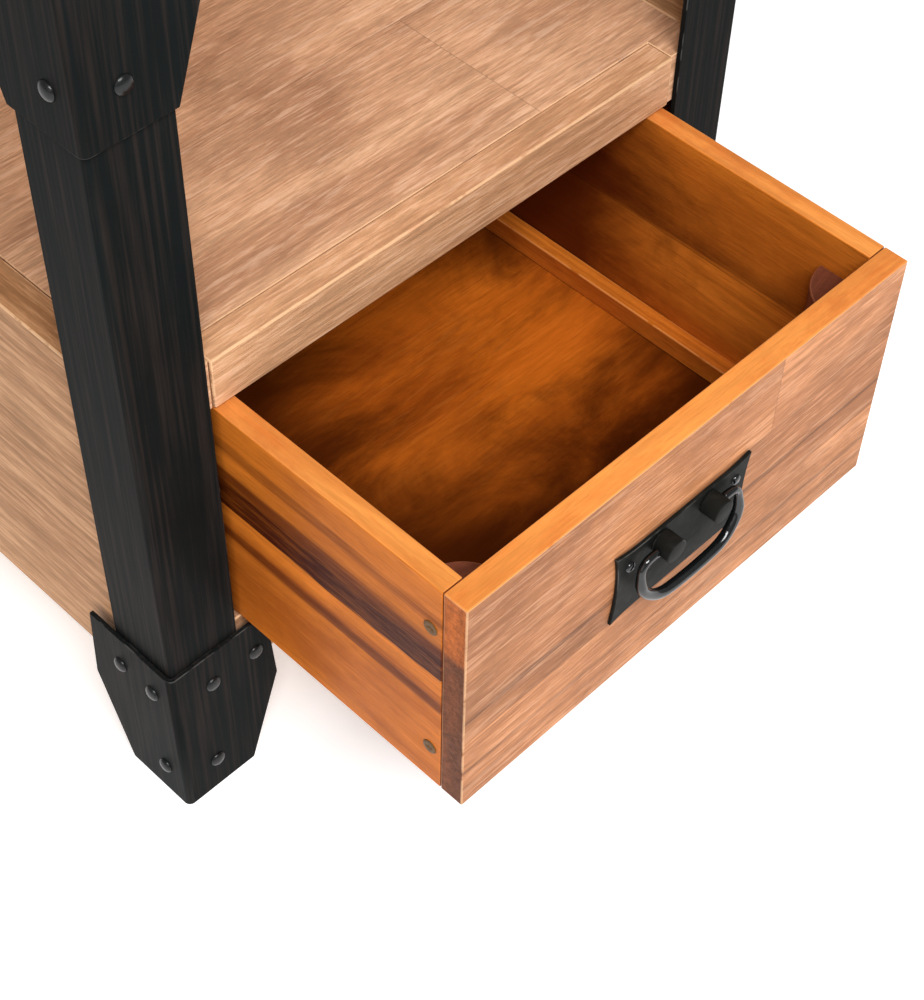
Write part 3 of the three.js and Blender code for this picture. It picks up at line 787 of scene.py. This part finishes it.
def block(shape: Shape, low: Vector, high: Vector) -> list:
    """Adds a box between two corners.

    Args:
        shape: the bmesh.
        low: the lowest corner.
        high: the highest corner.

    Returns:
        The box's vertices.
    """
    size = high - low
    place = Matrix.Translation((low + high) / 2) @ Matrix.Diagonal((*size, 1.0))
    return bmesh.ops.create_cube(shape, size=1.0, matrix=place)["verts"]


def raise_outline(shape: Shape, corners: Sequence[tuple[float, float]], base: float, height: float) -> None:
    """Raises a flat outline into a solid.

    Args:
        shape: the bmesh.
        corners: the outline's corners in X and Y.
        base: the height of its underside.
        height: how tall it is.
    """
    face = shape.faces.new([shape.verts.new((x, y, base)) for x, y in corners])
    raised = bmesh.ops.extrude_face_region(shape, geom=[face])["geom"]
    moved = [part for part in raised if isinstance(part, bmesh.types.BMVert)]
    bmesh.ops.translate(shape, vec=(0.0, 0.0, height), verts=moved)
    bmesh.ops.recalc_face_normals(shape, faces=shape.faces)


def cut_away(shape: Shape, place: Vector, outward: Vector) -> None:
    """Cuts off what lies beyond a plane and closes the cut.

    Args:
        shape: the bmesh.
        place: a point on the plane.
        outward: the plane's normal, on the side that goes.
    """
    parts = shape.verts[:] + shape.edges[:] + shape.faces[:]
    cut = bmesh.ops.bisect_plane(shape, geom=parts, dist=SNAP, plane_co=place, plane_no=outward,
                                 clear_outer=True)
    rim = [part for part in cut["geom_cut"] if isinstance(part, bmesh.types.BMEdge)]
    bmesh.ops.holes_fill(shape, edges=rim, sides=0)


def lathe(shape: Shape, profile: Sequence[tuple[float, float]], place: Matrix, steps: int = 32) -> None:
    """Spins a profile into a closed round piece.

    Args:
        shape: the bmesh.
        profile: points as radius and height, from one end of the axis to the other.
        place: where the piece goes, with its axis along the matrix's Z.
        steps: how many sides it has.
    """
    before = set(shape.verts)
    verts = [shape.verts.new((radius, 0.0, height)) for radius, height in profile]
    edges = [shape.edges.new(pair) for pair in zip(verts, verts[1:])]
    bmesh.ops.spin(shape, geom=verts + edges, cent=(0, 0, 0), axis=(0, 0, 1), angle=math.tau, steps=steps,
                   use_merge=True, use_duplicate=False)
    added = [vert for vert in shape.verts if vert not in before]
    bmesh.ops.remove_doubles(shape, verts=added, dist=SAME)
    added = [vert for vert in shape.verts if vert not in before]
    faces = list({face for vert in added for face in vert.link_faces})
    for face in faces:
        face.smooth = True
    bmesh.ops.recalc_face_normals(shape, faces=faces)
    bmesh.ops.transform(shape, matrix=place, verts=added)


def facing(axis: Vector, place: Vector) -> Matrix:
    """Gives the matrix that turns Z to an axis and moves to a place."""
    return Matrix.Translation(place) @ axis.to_track_quat("Z", "Y").to_matrix().to_4x4()


class Maker:
    """Turns finished bmeshes into pieces that ride on the frame."""

    def __init__(self, palette: Palette) -> None:
        """Keeps the palette and starts counting planks."""
        self.palette = palette
        self.count = 0

    def mark_wood(self, shape: Shape, finish: WoodFinish, seed: float) -> None:
        """Marks which plank each face is cut from, and which faces are end grain.

        Args:
            shape: the bmesh.
            finish: the wood's finish.
            seed: the plank's number.
        """
        plank = shape.faces.layers.float.new("plank")
        end = shape.faces.layers.float.new("end")
        for face in shape.faces:
            face[plank] = seed
            face[end] = 1.0 if abs(face.normal[finish.grain.along()]) > 0.8 else 0.0

    def piece(self, shape: Shape, node: str, finish: Finish, seed: Union[float, None] = None,
              others: Sequence[Finish] = ()) -> bpy.types.Object:
        """Makes the object, dresses it and sets it on its body in place of its CAD node.

        Args:
            shape: the finished bmesh, which is freed.
            node: the CAD node that the piece stands for.
            finish: its finish.
            seed: the number of the plank that it is cut from, or None for the next one.
            others: finishes for faces with a material number over 0.

        Returns:
            The piece.
        """
        self.count += 1
        shape.normal_update()
        if isinstance(finish, WoodFinish):
            self.mark_wood(shape, finish, float(self.count) if seed is None else seed)
        mesh = bpy.data.meshes.new(node + "_piece")
        shape.to_mesh(mesh)
        shape.free()
        made = bpy.data.objects.new(node + "_piece", mesh)
        bpy.context.scene.collection.objects.link(made)
        for each in (finish, *others):
            mesh.materials.append(self.palette.material(each))
        body = body_of(node)
        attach(made, body)
        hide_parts(node)
        LOG.info("%s: %d faces, rides on %s, %s", made.name, len(mesh.polygons), body, finish.name)
        return made

    def board(self, node: str, finish: WoodFinish, edge: float = 0.8 * MM,
              seed: Union[float, None] = None) -> None:
        """Makes a plain board with eased edges from its CAD node's box.

        Args:
            node: the CAD node.
            finish: the board's finish.
            edge: how wide its edges are eased.
            seed: the number of the plank that it is cut from.
        """
        shape = bmesh.new()
        block(shape, *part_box(node))
        ease(shape, edge)
        self.piece(shape, node, finish, seed)


# ---------------------------------------------------------------- iron corners


class Corner(Enum):
    """The four corners: each one's name and how far it is turned from the front left, in degrees."""

    FRONT_LEFT = ("front_left", 0.0)
    FRONT_RIGHT = ("front_right", 90.0)
    REAR_RIGHT = ("rear_right", 180.0)
    REAR_LEFT = ("rear_left", 270.0)

    def place(self, node: str) -> Matrix:
        """Gives the corner's own frame, with its origin at the foot of a node's outer edge.

        Args:
            node: a CAD node at this corner.

        Returns:
            The matrix from the corner's frame to the row frame.
        """
        low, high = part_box(node)
        name, turn = self.value
        x = low.x if name.endswith("left") else high.x
        y = low.y if name.startswith("front") else high.y
        return Matrix.Translation((x, y, low.z)) @ Matrix.Rotation(math.radians(turn), 4, "Z")


@dataclass
class IronCorner:
    """One corner post with the brackets at its foot and head and the plate that holds the top."""

    corner: Corner
    iron: float = 3.0 * MM
    bend: float = 3.3 * MM
    root: float = 1.5 * MM
    bracket_iron: float = 2.5 * MM
    bracket_bend: float = 3.8 * MM
    bracket_root: float = 1.3 * MM
    toe_width: float = 46.0 * MM
    shoulder_width: float = 67.0 * MM
    shoulder_height: float = 60.0 * MM
    head_width: float = 63.0 * MM
    rivet_radius: float = 4.6 * MM
    rivet_height: float = 2.4 * MM
    rivet_sides: int = 28
    first_spots: tuple = ((22.0, 24.0), (25.5, 90.0), (54.0, 90.0))
    second_spots: tuple = ((16.0, 24.0), (17.0, 90.0), (42.0, 90.0))
    edge: float = 0.45 * MM

    def angle(self, shape: Shape, flange: float, iron: float, radii: tuple[float, float],
              height: float) -> None:
        """Folds a strip into an angle with a round bend along the Z axis.

        Args:
            shape: the bmesh.
            flange: the width of each flange.
            iron: the thickness of the strip.
            radii: the bend's outer radius and its inner radius.
            height: how tall it is.
        """
        outline = ((0, 0), (flange, 0), (flange, iron), (iron, iron), (iron, flange), (0, flange))
        raise_outline(shape, outline, 0.0, height)
        for x, radius in zip((0.0, iron), radii):
            spine = [edge for edge in shape.edges
                     if all(abs(vert.co.x - x) < SAME and abs(vert.co.y - x) < SAME for vert in edge.verts)]
            bevel(shape, spine, radius, 8)

    def make_post(self, maker: Maker) -> None:
        """Makes the post."""
        node = "leg_" + self.corner.value[0]
        low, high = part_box(node)
        shape = bmesh.new()
        self.angle(shape, high.x - low.x, self.iron, (self.bend, self.root), high.z - low.z)
        ease(shape, self.edge)
        bmesh.ops.transform(shape, matrix=self.corner.place(node), verts=shape.verts)
        maker.piece(shape, node, Finishes.IRON)

    def trim(self, shape: Shape, height: float) -> None:
        """Cuts both flanges to the bracket's outline: a narrow toe, a shoulder and an upright head.

        Args:
            shape: the bracket before it is trimmed.
            height: the bracket's height.
        """
        toe, shoulder, head = self.toe_width, self.shoulder_width, self.head_width
        cuts = ((toe, 0.0, shoulder, self.shoulder_height), (shoulder, self.shoulder_height, head, height))
        for near, low, far, high in cuts:
            outward = Vector((high - low, 0.0, near - far))
            cut_away(shape, Vector((near, 0.0, low)), outward)
            cut_away(shape, Vector((0.0, near, low)), Vector((0.0, outward.x, outward.z)))

    def rivet(self, shape: Shape, place: Vector, outward: Vector) -> None:
        """Sets a domed rivet head on a flange.

        Args:
            shape: the bracket.
            place: the head's centre on the flange's face.
            outward: the way that it faces.
        """
        turned = facing(outward, place)
        size = Matrix.Diagonal((self.rivet_radius, self.rivet_radius, self.rivet_height, 1.0))
        head = bmesh.ops.create_uvsphere(shape, u_segments=self.rivet_sides,
                                         v_segments=self.rivet_sides // 2, radius=1.0, matrix=turned @ size)
        for face in {face for vert in head["verts"] for face in vert.link_faces}:
            face.smooth = True

    def make_bracket(self, maker: Maker, kind: str) -> None:
        """Makes the foot or head bracket.

        Args:
            maker: the maker of pieces.
            kind: foot or head.
        """
        node = f"{kind}_bracket_{self.corner.value[0]}"
        low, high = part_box(node)
        height = high.z - low.z
        shape = bmesh.new()
        radii = (self.bracket_bend, self.bracket_root)
        self.angle(shape, self.shoulder_width, self.bracket_iron, radii, height)
        self.trim(shape, height)
        ease(shape, self.edge)
        plain = set(shape.faces)
        for column, row in self.first_spots:
            self.rivet(shape, Vector((column * MM, 0.0, row * MM)), Vector((0.0, -1.0, 0.0)))
        for column, row in self.second_spots:
            self.rivet(shape, Vector((0.0, column * MM, row * MM)), Vector((-1.0, 0.0, 0.0)))
        for face in set(shape.faces) - plain:
            face.material_index = 1
        sunk = self.corner.place(node) @ Matrix.Translation((self.rivet_height, self.rivet_height, 0.0))
        bmesh.ops.transform(shape, matrix=sunk, verts=shape.verts)
        maker.piece(shape, node, Finishes.IRON, None, (Finishes.RIVET,))

    def build(self, maker: Maker) -> None:
        """Makes the post and both brackets, and dresses the corner's CAD head plate in iron."""
        self.make_post(maker)
        self.make_bracket(maker, "foot")
        self.make_bracket(maker, "head")
        plate = FRAME["nodes"]["head_plate_" + self.corner.value[0]]
        plate.data.materials.clear()
        plate.data.materials.append(maker.palette.material(Finishes.IRON))


# ---------------------------------------------------------------- top, shelf and case


@dataclass
class BoardWork:
    """The top, the shelf and the open-fronted case under it."""

    top_edge: float = 2.0 * MM
    shelf_edge: float = 1.0 * MM
    corner_ease: float = 4.5 * MM

    def make_shelf(self, maker: Maker) -> None:
        """Makes the shelf's board, notched for its front strip, and the strip."""
        low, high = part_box("shelf_board")
        strip_low, strip_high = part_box("shelf_front_strip")
        gap = 0.3 * MM
        inset = strip_high.y + gap
        corners = ((low.x, low.y), (strip_low.x - gap, low.y), (strip_low.x - gap, inset),
                   (strip_high.x + gap, inset), (strip_high.x + gap, low.y), (high.x, low.y),
                   (high.x, high.y), (low.x, high.y))
        shape = bmesh.new()
        raise_outline(shape, corners, low.z, high.z - low.z)
        ease(shape, self.shelf_edge * 0.5)
        maker.piece(shape, "shelf_board", Finishes.SHELF, 3.0)
        maker.board("shelf_front_strip", Finishes.STRIP, self.shelf_edge, 5.0)

    def make_side(self, maker: Maker, side: str) -> None:
        """Makes a side of the case, with the two outer corners eased to sit in the posts.

        Args:
            maker: the maker of pieces.
            side: left or right.
        """
        node = "case_side_" + side
        low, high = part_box(node)
        outer = low.x if side == "left" else high.x
        shape = bmesh.new()
        block(shape, low, high)
        upright = [edge for edge in shape.edges if all(abs(vert.co.x - outer) < SAME for vert in edge.verts)
                   and abs(edge.verts[0].co.y - edge.verts[1].co.y) < SAME]
        bevel(shape, upright, self.corner_ease, 5)
        ease(shape, self.shelf_edge)
        maker.piece(shape, node, Finishes.CASE)

    def build(self, maker: Maker) -> None:
        """Makes every board."""
        maker.board("table_top", Finishes.TOP, self.top_edge)
        self.make_shelf(maker)
        for side in ("left", "right"):
            self.make_side(maker, side)
            maker.board("runner_" + side, Finishes.PLAIN_Y)
            maker.board("guide_" + side, Finishes.PLAIN_Y)
        maker.board("case_back", Finishes.CASE_CROSS)
        maker.board("case_bottom", Finishes.PLAIN_X)
        maker.board("front_rail", Finishes.CASE_CROSS)


# ---------------------------------------------------------------- drawer


class Level(Enum):
    """The two rows of screws in a drawer side."""

    UPPER = "upper"
    LOWER = "lower"


@dataclass
class DrawerBox:
    """The drawer: its face, sides, back, bottom, cleats, corner blocks and screws."""

    edge: float = 0.8 * MM
    block_sides: int = 64
    screw_proud: float = 0.5 * MM
    screw_depth: float = 0.3 * MM

    def make_face(self, maker: Maker) -> None:
        """Makes the front: brushed on its face, oiled on its edges and its inside."""
        shape = bmesh.new()
        block(shape, *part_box("drawer_front"))
        ease(shape, self.edge, 3)
        shape.normal_update()
        for face in shape.faces:
            # painted light: the up-facing top edge takes the lighter copy of the oiled finish
            if face.normal.z > 0.5:
                face.material_index = 2
            elif face.normal.y > -0.5 and abs(face.normal.x) < 0.5:
                face.material_index = 1
        maker.piece(shape, "drawer_front", Finishes.FACE, 2.0, (Finishes.CROSS, Finishes.LIT_TOP_EDGE_X))

    def make_side(self, maker: Maker, side: str, seed: float) -> None:
        """Makes a side, painted lighter along its top edge where light from above falls, and unworn where it
        meets the front.

        Args:
            maker: the maker of pieces.
            side: left or right.
            seed: the number of the plank that it is cut from.
        """
        node = "drawer_side_" + side
        low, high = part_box(node)
        shape = bmesh.new()
        block(shape, low, high)
        ease(shape, self.edge)
        shape.normal_update()
        layer = shape.loops.layers.float["arris"]
        for face in shape.faces:
            # painted light: the up-facing top edge takes the lighter copy of the oiled finish
            face.material_index = 1 if face.normal.z > 0.5 else 0
            for loop in face.loops:
                if loop.vert.co.y < low.y + 2.0 * MM:
                    loop[layer] = 0.0
        finish = Finishes.SIDE if side == "left" else Finishes.SIDE_RIGHT
        maker.piece(shape, node, finish, seed, (Finishes.LIT_TOP_EDGE_Y,))

    def make_block(self, maker: Maker, side: str) -> None:
        """Makes a quarter-round corner block.

        Args:
            maker: the maker of pieces.
            side: left or right.
        """
        node = "corner_block_" + side
        low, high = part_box(node)
        radius = high.x - low.x
        corner = low.x if side == "left" else high.x
        centre = Vector((corner, low.y, (low.z + high.z) / 2))
        shape = bmesh.new()
        bmesh.ops.create_cone(shape, cap_ends=True, segments=self.block_sides, radius1=radius,
                              radius2=radius, depth=high.z - low.z, matrix=Matrix.Translation(centre))
        for face in shape.faces:
            face.smooth = abs(face.normal.z) < 0.5
        inward = 1.0 if side == "left" else -1.0
        cut_away(shape, centre, Vector((-inward, 0.0, 0.0)))
        cut_away(shape, centre, Vector((0.0, -1.0, 0.0)))
        ease(shape, self.edge)
        maker.piece(shape, node, Finishes.BLOCK)

    def make_screw(self, maker: Maker, side: str, level: Level) -> None:
        """Makes a countersunk screw with a cross recess.

        Args:
            maker: the maker of pieces.
            side: left or right.
            level: which row it is in.
        """
        node = f"side_screw_{side}_{level.value}"
        low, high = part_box(node)
        radius = (high.z - low.z) / 2
        length = high.x - low.x
        outward = Vector((-1.0 if side == "left" else 1.0, 0.0, 0.0))
        head = Vector((low.x if side == "left" else high.x, (low.y + high.y) / 2, (low.z + high.z) / 2))
        shape = bmesh.new()
        rim = 0.25 * MM
        profile = [(1.9 * MM, -length * 0.96), (1.9 * MM, -2.6 * MM), (radius, -rim), (radius - rim, 0.0)]
        lathe(shape, [(0.0, -length), *profile, (0.6 * radius, 0.0)], Matrix.Identity(4), 24)
        self.cut_recess(shape, 0.6 * radius)
        proud = facing(outward, head + outward * self.screw_proud)
        bmesh.ops.transform(shape, matrix=proud, verts=shape.verts)
        bmesh.ops.recalc_face_normals(shape, faces=shape.faces)
        maker.piece(shape, node, Finishes.SCREW)

    def cut_recess(self, shape: Shape, reach: float) -> None:
        """Closes a round opening at z = 0 with a cross-shaped recess.

        Args:
            shape: a screw whose head is open over a round hole.
            reach: the hole's radius.
        """
        rim = [edge for edge in shape.edges if edge.is_boundary]
        sunk = bmesh.ops.extrude_edge_only(shape, edges=rim)["geom"]
        verts = [part for part in sunk if isinstance(part, bmesh.types.BMVert)]
        for vert in verts:
            turn = math.atan2(vert.co.y, vert.co.x)
            arm = abs(math.cos(2.0 * turn)) ** 3
            vert.co = Vector((math.cos(turn), math.sin(turn), 0.0)) * reach * (0.35 + 0.6 * arm)
            vert.co.z = -0.1 * MM
        edges = [part for part in sunk if isinstance(part, bmesh.types.BMEdge)]
        floor = bmesh.ops.extrude_edge_only(shape, edges=edges)["geom"]
        deep = [part for part in floor if isinstance(part, bmesh.types.BMVert)]
        bmesh.ops.scale(shape, vec=(0.7, 0.7, 1.0), verts=deep)
        bmesh.ops.translate(shape, vec=(0.0, 0.0, -self.screw_depth), verts=deep)
        closing = [part for part in floor if isinstance(part, bmesh.types.BMEdge)]
        bmesh.ops.holes_fill(shape, edges=closing, sides=0)

    def build(self, maker: Maker) -> None:
        """Makes every piece of the drawer."""
        self.make_face(maker)
        for place, side in enumerate(("left", "right")):
            self.make_side(maker, side, 11.0 + place)
            maker.board("drawer_cleat_" + side, Finishes.SIDE, 0.8 * MM)
            self.make_block(maker, side)
            for level in Level:
                self.make_screw(maker, side, level)
        maker.board("drawer_back", Finishes.CROSS, self.edge)
        maker.board("drawer_bottom", Finishes.FLOOR, 0.5 * MM, 7.0)


# ---------------------------------------------------------------- bail pull


@dataclass
class BailPull:
    """The pull: a flared plate, two posts, two screws and the swinging bail."""

    waist: float = 2.5 * MM
    flare: float = 18.0 * MM
    post_rim: float = 0.6 * MM
    rod: float = 2.9 * MM
    rod_thin: float = 2.2 * MM
    rod_sides: int = 24

    def make_plate(self, maker: Maker) -> None:
        """Makes the plate, with hollow edges between four flared corners."""
        low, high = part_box("handle_plate")
        middle = (low + high) / 2
        half = (high - low) / 2
        shape = bmesh.new()
        upright = facing(Vector((0.0, -1.0, 0.0)), Vector((middle.x, high.y, middle.z)))
        bmesh.ops.create_grid(shape, x_segments=32, y_segments=12, size=1.0)
        for vert in shape.verts:
            u, v = vert.co.x, vert.co.y
            reach = half.x - self.waist * (1.0 - v * v)
            bend = max(0.0, (abs(u) * half.x - half.x + self.flare) / self.flare)
            rise = half.z - self.waist * (1.0 - bend * bend)
            vert.co = Vector((u * reach, v * rise, 0.0))
        raised = bmesh.ops.extrude_face_region(shape, geom=shape.faces[:])["geom"]
        moved = [part for part in raised if isinstance(part, bmesh.types.BMVert)]
        bmesh.ops.translate(shape, vec=(0.0, 0.0, 2.0 * half.y), verts=moved)
        bmesh.ops.recalc_face_normals(shape, faces=shape.faces)
        ease(shape, 0.4 * MM)
        bmesh.ops.transform(shape, matrix=upright, verts=shape.verts)
        maker.piece(shape, "handle_plate", Finishes.PLATE)

    def make_post(self, maker: Maker, side: str) -> None:
        """Makes a post that holds one end of the bail.

        Args:
            maker: the maker of pieces.
            side: left or right.
        """
        node = "handle_post_" + side
        low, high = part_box(node)
        middle = (low + high) / 2
        radius = (high.z - low.z) / 2
        length = high.y - low.y
        profile = ((0.0, 0.0), (radius, 0.0), (radius, length), (0.0, length))
        shape = bmesh.new()
        lathe(shape, profile, facing(Vector((0.0, -1.0, 0.0)), Vector((middle.x, high.y, middle.z))), 40)
        ease(shape, self.post_rim, 3)
        maker.piece(shape, node, Finishes.PLATE)

    def make_screw(self, maker: Maker, side: str) -> None:
        """Makes a round-headed screw in the plate.

        Args:
            maker: the maker of pieces.
            side: left or right.
        """
        node = "handle_screw_" + side
        low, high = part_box(node)
        middle = (low + high) / 2
        radius = (high.z - low.z) / 2
        length = high.y - low.y
        head = 1.8 * MM
        profile = ((0.0, 0.0), (1.3 * MM, 1.5 * MM), (1.3 * MM, length - head), (radius, length - head),
                   (radius, length - 0.7 * head), (radius * 0.8, length - 0.25 * head),
                   (radius * 0.45, length - 0.03 * head), (0.0, length))
        shape = bmesh.new()
        lathe(shape, profile, facing(Vector((0.0, -1.0, 0.0)), Vector((middle.x, high.y, middle.z))), 28)
        maker.piece(shape, node, Finishes.PULL)

    def path(self) -> list[tuple[Vector, float]]:
        """Gives the bail's centre line and its radius at each point, from one post round to the other.

        Returns:
            Points in the row frame, with the rod's radius at each.
        """
        low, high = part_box("bail")
        middle = (low + high) / 2
        half = (high.x - low.x) / 2 - self.rod
        pivot = high.z - self.rod
        proud = high.y - self.rod
        bow = high.y - low.y - 2.0 * self.rod
        drop = high.z - low.z - 2.0 * self.rod
        thin, thick = self.rod_thin, self.rod
        right = ((half - 11.4 * MM, 0.0, thin), (half - 7.5 * MM, 0.0, thin),
                 (half - 4.0 * MM, -0.6 * MM, thin), (half - 0.9 * MM, -3.4 * MM, 0.95 * thin),
                 (half, -7.6 * MM, thin), (half, -0.45 * drop, thick),
                 (half - 1.6 * MM, -0.61 * drop, thick), (half - 5.2 * MM, -0.76 * drop, thick),
                 (half - 11.0 * MM, -0.9 * drop, thick), (half - 19.0 * MM, -0.975 * drop, thick))
        marks = [*right, (0.0, -drop, thick), *[(-x, z, r) for x, z, r in reversed(right)]]
        return [(Vector((middle.x + x, proud - bow * (-z / drop) ** 1.2, pivot + z)), radius)
                for x, z, radius in marks]

    def make_bail(self, maker: Maker) -> None:
        """Makes the bail: rings set along its line and bridged, thin at the posts and full at the grip."""
        marks = self.path()
        shape = bmesh.new()
        rings: list[list[bmesh.types.BMEdge]] = []
        stations: list[tuple[Vector, Vector, float]] = []
        for place in range(len(marks) - 1):
            before = marks[max(place - 1, 0)]
            start, end = marks[place], marks[place + 1]
            after = marks[min(place + 2, len(marks) - 1)]
            for step in range(6 if place < len(marks) - 2 else 7):
                t = step / 6.0
                point = curve_point(before[0], start[0], end[0], after[0], t)
                ahead = curve_point(before[0], start[0], end[0], after[0], t + 0.01)
                stations.append((point, (ahead - point).normalized(), start[1] + (end[1] - start[1]) * t))
        for point, tangent, radius in stations:
            side = Vector((0.0, 1.0, 0.0)).cross(tangent).normalized()
            turn = Matrix((side, tangent.cross(side), tangent)).transposed().to_4x4()
            ring = bmesh.ops.create_circle(shape, segments=self.rod_sides, radius=radius,
                                           matrix=Matrix.Translation(point) @ turn)["verts"]
            rings.append(list({edge for vert in ring for edge in vert.link_edges}))
        for first, second in zip(rings, rings[1:]):
            bmesh.ops.bridge_loops(shape, edges=first + second)
        for ring in (rings[0], rings[-1]):
            bmesh.ops.holes_fill(shape, edges=ring, sides=0)
        for face in shape.faces:
            face.smooth = len(face.verts) == 4
        bmesh.ops.recalc_face_normals(shape, faces=shape.faces)
        maker.piece(shape, "bail", Finishes.PULL)

    def build(self, maker: Maker) -> None:
        """Makes every piece of the pull."""
        self.make_plate(maker)
        for side in ("left", "right"):
            self.make_post(maker, side)
            self.make_screw(maker, side)
        self.make_bail(maker)


def curve_point(before: Vector, start: Vector, end: Vector, after: Vector, t: float) -> Vector:
    """Finds a point on the smooth line through four marks.

    Args:
        before: the mark before the stretch.
        start: the mark where the stretch starts.
        end: the mark where it ends.
        after: the mark after it.
        t: how far along the stretch, from 0 to 1.

    Returns:
        The point.
    """
    first = (end - before) * 0.5 * t
    second = (before - start * 2.5 + end * 2.0 - after * 0.5) * t * t
    third = (start * 1.5 - before * 0.5 - end * 1.5 + after * 0.5) * t * t * t
    return start + first + second + third


# ---------------------------------------------------------------- studio


@dataclass
class Lamp:
    """One soft area light."""

    name: str
    place: tuple[float, float, float]
    aim: tuple[float, float, float]
    size: float
    power: float
    tint: Tint = (255, 255, 255)

    def build(self) -> None:
        """Adds the light."""
        light = bpy.data.lights.new(self.name, "AREA")
        light.shape = "SQUARE"
        light.size = self.size
        light.energy = self.power
        light.color = linear(self.tint)[:3]
        lamp = bpy.data.objects.new(self.name, light)
        place = Vector(self.place)
        turn = (Vector(self.aim) - place).to_track_quat("-Z", "Y")
        lamp.matrix_world = Matrix.Translation(place) @ turn.to_matrix().to_4x4()
        bpy.context.scene.collection.objects.link(lamp)


@dataclass
class Studio:
    """The floor, the lights and the camera."""

    floor_size: float = 8.0
    floor_glow: float = 0.46
    ambient: float = 0.32
    camera_place: tuple[float, float, float] = (-0.51817, -0.61954, 0.94658)
    heading: float = -48.736
    pitch: float = 50.280
    roll: float = 3.387
    lens: float = 73.17
    shift: tuple[float, float] = (-0.0568, 0.0095)

    def make_floor(self) -> None:
        """Makes a pale floor with a faint mottle."""
        shape = bmesh.new()
        bmesh.ops.create_grid(shape, x_segments=2, y_segments=2, size=self.floor_size / 2)
        bmesh.ops.translate(shape, vec=(0.0, 0.0, -0.2 * MM), verts=shape.verts)
        mesh = bpy.data.meshes.new("floor")
        shape.to_mesh(mesh)
        shape.free()
        floor = bpy.data.objects.new("floor", mesh)
        bpy.context.scene.collection.objects.link(floor)
        paper = bpy.data.materials.new("pale floor")
        paper.use_nodes = True
        g = Graph(paper.node_tree)
        shader = paper.node_tree.nodes["Principled BSDF"]
        place = g.add("ShaderNodeTexCoord").outputs["Object"]
        mottle = g.noise(g.stretch(place, (6.0, 6.0, 6.0)), 3.0)
        g.feed(shader.inputs["Base Color"], g.mix(mottle, (0.90, 0.90, 0.91, 1.0), (0.93, 0.93, 0.93, 1.0)))
        shader.inputs["Roughness"].default_value = 0.9
        shader.inputs["Emission Color"].default_value = (1.0, 1.0, 1.0, 1.0)
        shader.inputs["Emission Strength"].default_value = self.floor_glow
        shader.inputs["Specular IOR Level"].default_value = 0.1
        mesh.materials.append(paper)

    def make_camera(self) -> None:
        """Makes the camera and gives it to the scene."""
        camera = bpy.data.cameras.new("camera")
        camera.sensor_width = 36.0
        camera.lens = self.lens
        camera.shift_x, camera.shift_y = self.shift
        camera.clip_start = 0.02
        camera.clip_end = 50.0
        holder = bpy.data.objects.new("camera", camera)
        heading = Matrix.Rotation(math.radians(self.heading), 4, "Z")
        pitch = Matrix.Rotation(math.radians(90.0 - self.pitch), 4, "X")
        roll = Matrix.Rotation(math.radians(self.roll), 4, "Z")
        holder.matrix_world = Matrix.Translation(self.camera_place) @ heading @ pitch @ roll
        bpy.context.scene.collection.objects.link(holder)
        bpy.context.scene.camera = holder

    def make_light(self) -> None:
        """Lights the scene from all round, with a soft key, a soft fill and a small lamp for glints."""
        world = bpy.data.worlds.new("studio")
        world.use_nodes = True
        background = world.node_tree.nodes["Background"]
        background.inputs["Color"].default_value = (1.0, 1.0, 1.0, 1.0)
        background.inputs["Strength"].default_value = self.ambient
        bpy.context.scene.world = world
        Lamp("key", (-0.55, -1.75, 2.3), (0.0, -0.1, 0.25), 1.0, 50.0).build()
        Lamp("fill", (-2.0, -0.9, 1.2), (0.0, -0.1, 0.25), 1.4, 4.0).build()
        Lamp("glint", (-0.9, -1.0, 1.9), (0.0, -0.2, 0.2), 0.3, 11.0).build()

    def build(self) -> None:
        """Makes the whole studio."""
        self.make_camera()
        self.make_floor()
        self.make_light()
        bpy.context.scene.view_settings.view_transform = "Standard"


def main() -> None:
    """Builds the studio and the table."""
    logging.basicConfig(level=logging.INFO, format="%(name)s: %(message)s")
    Studio().build()
    maker = Maker(Palette())
    for corner in Corner:
        IronCorner(corner).build(maker)
    BoardWork().build(maker)
    DrawerBox().build(maker)
    BailPull().build(maker)
    LOG.info("%d pieces", maker.count)


if __name__ == "__main__":
    main()
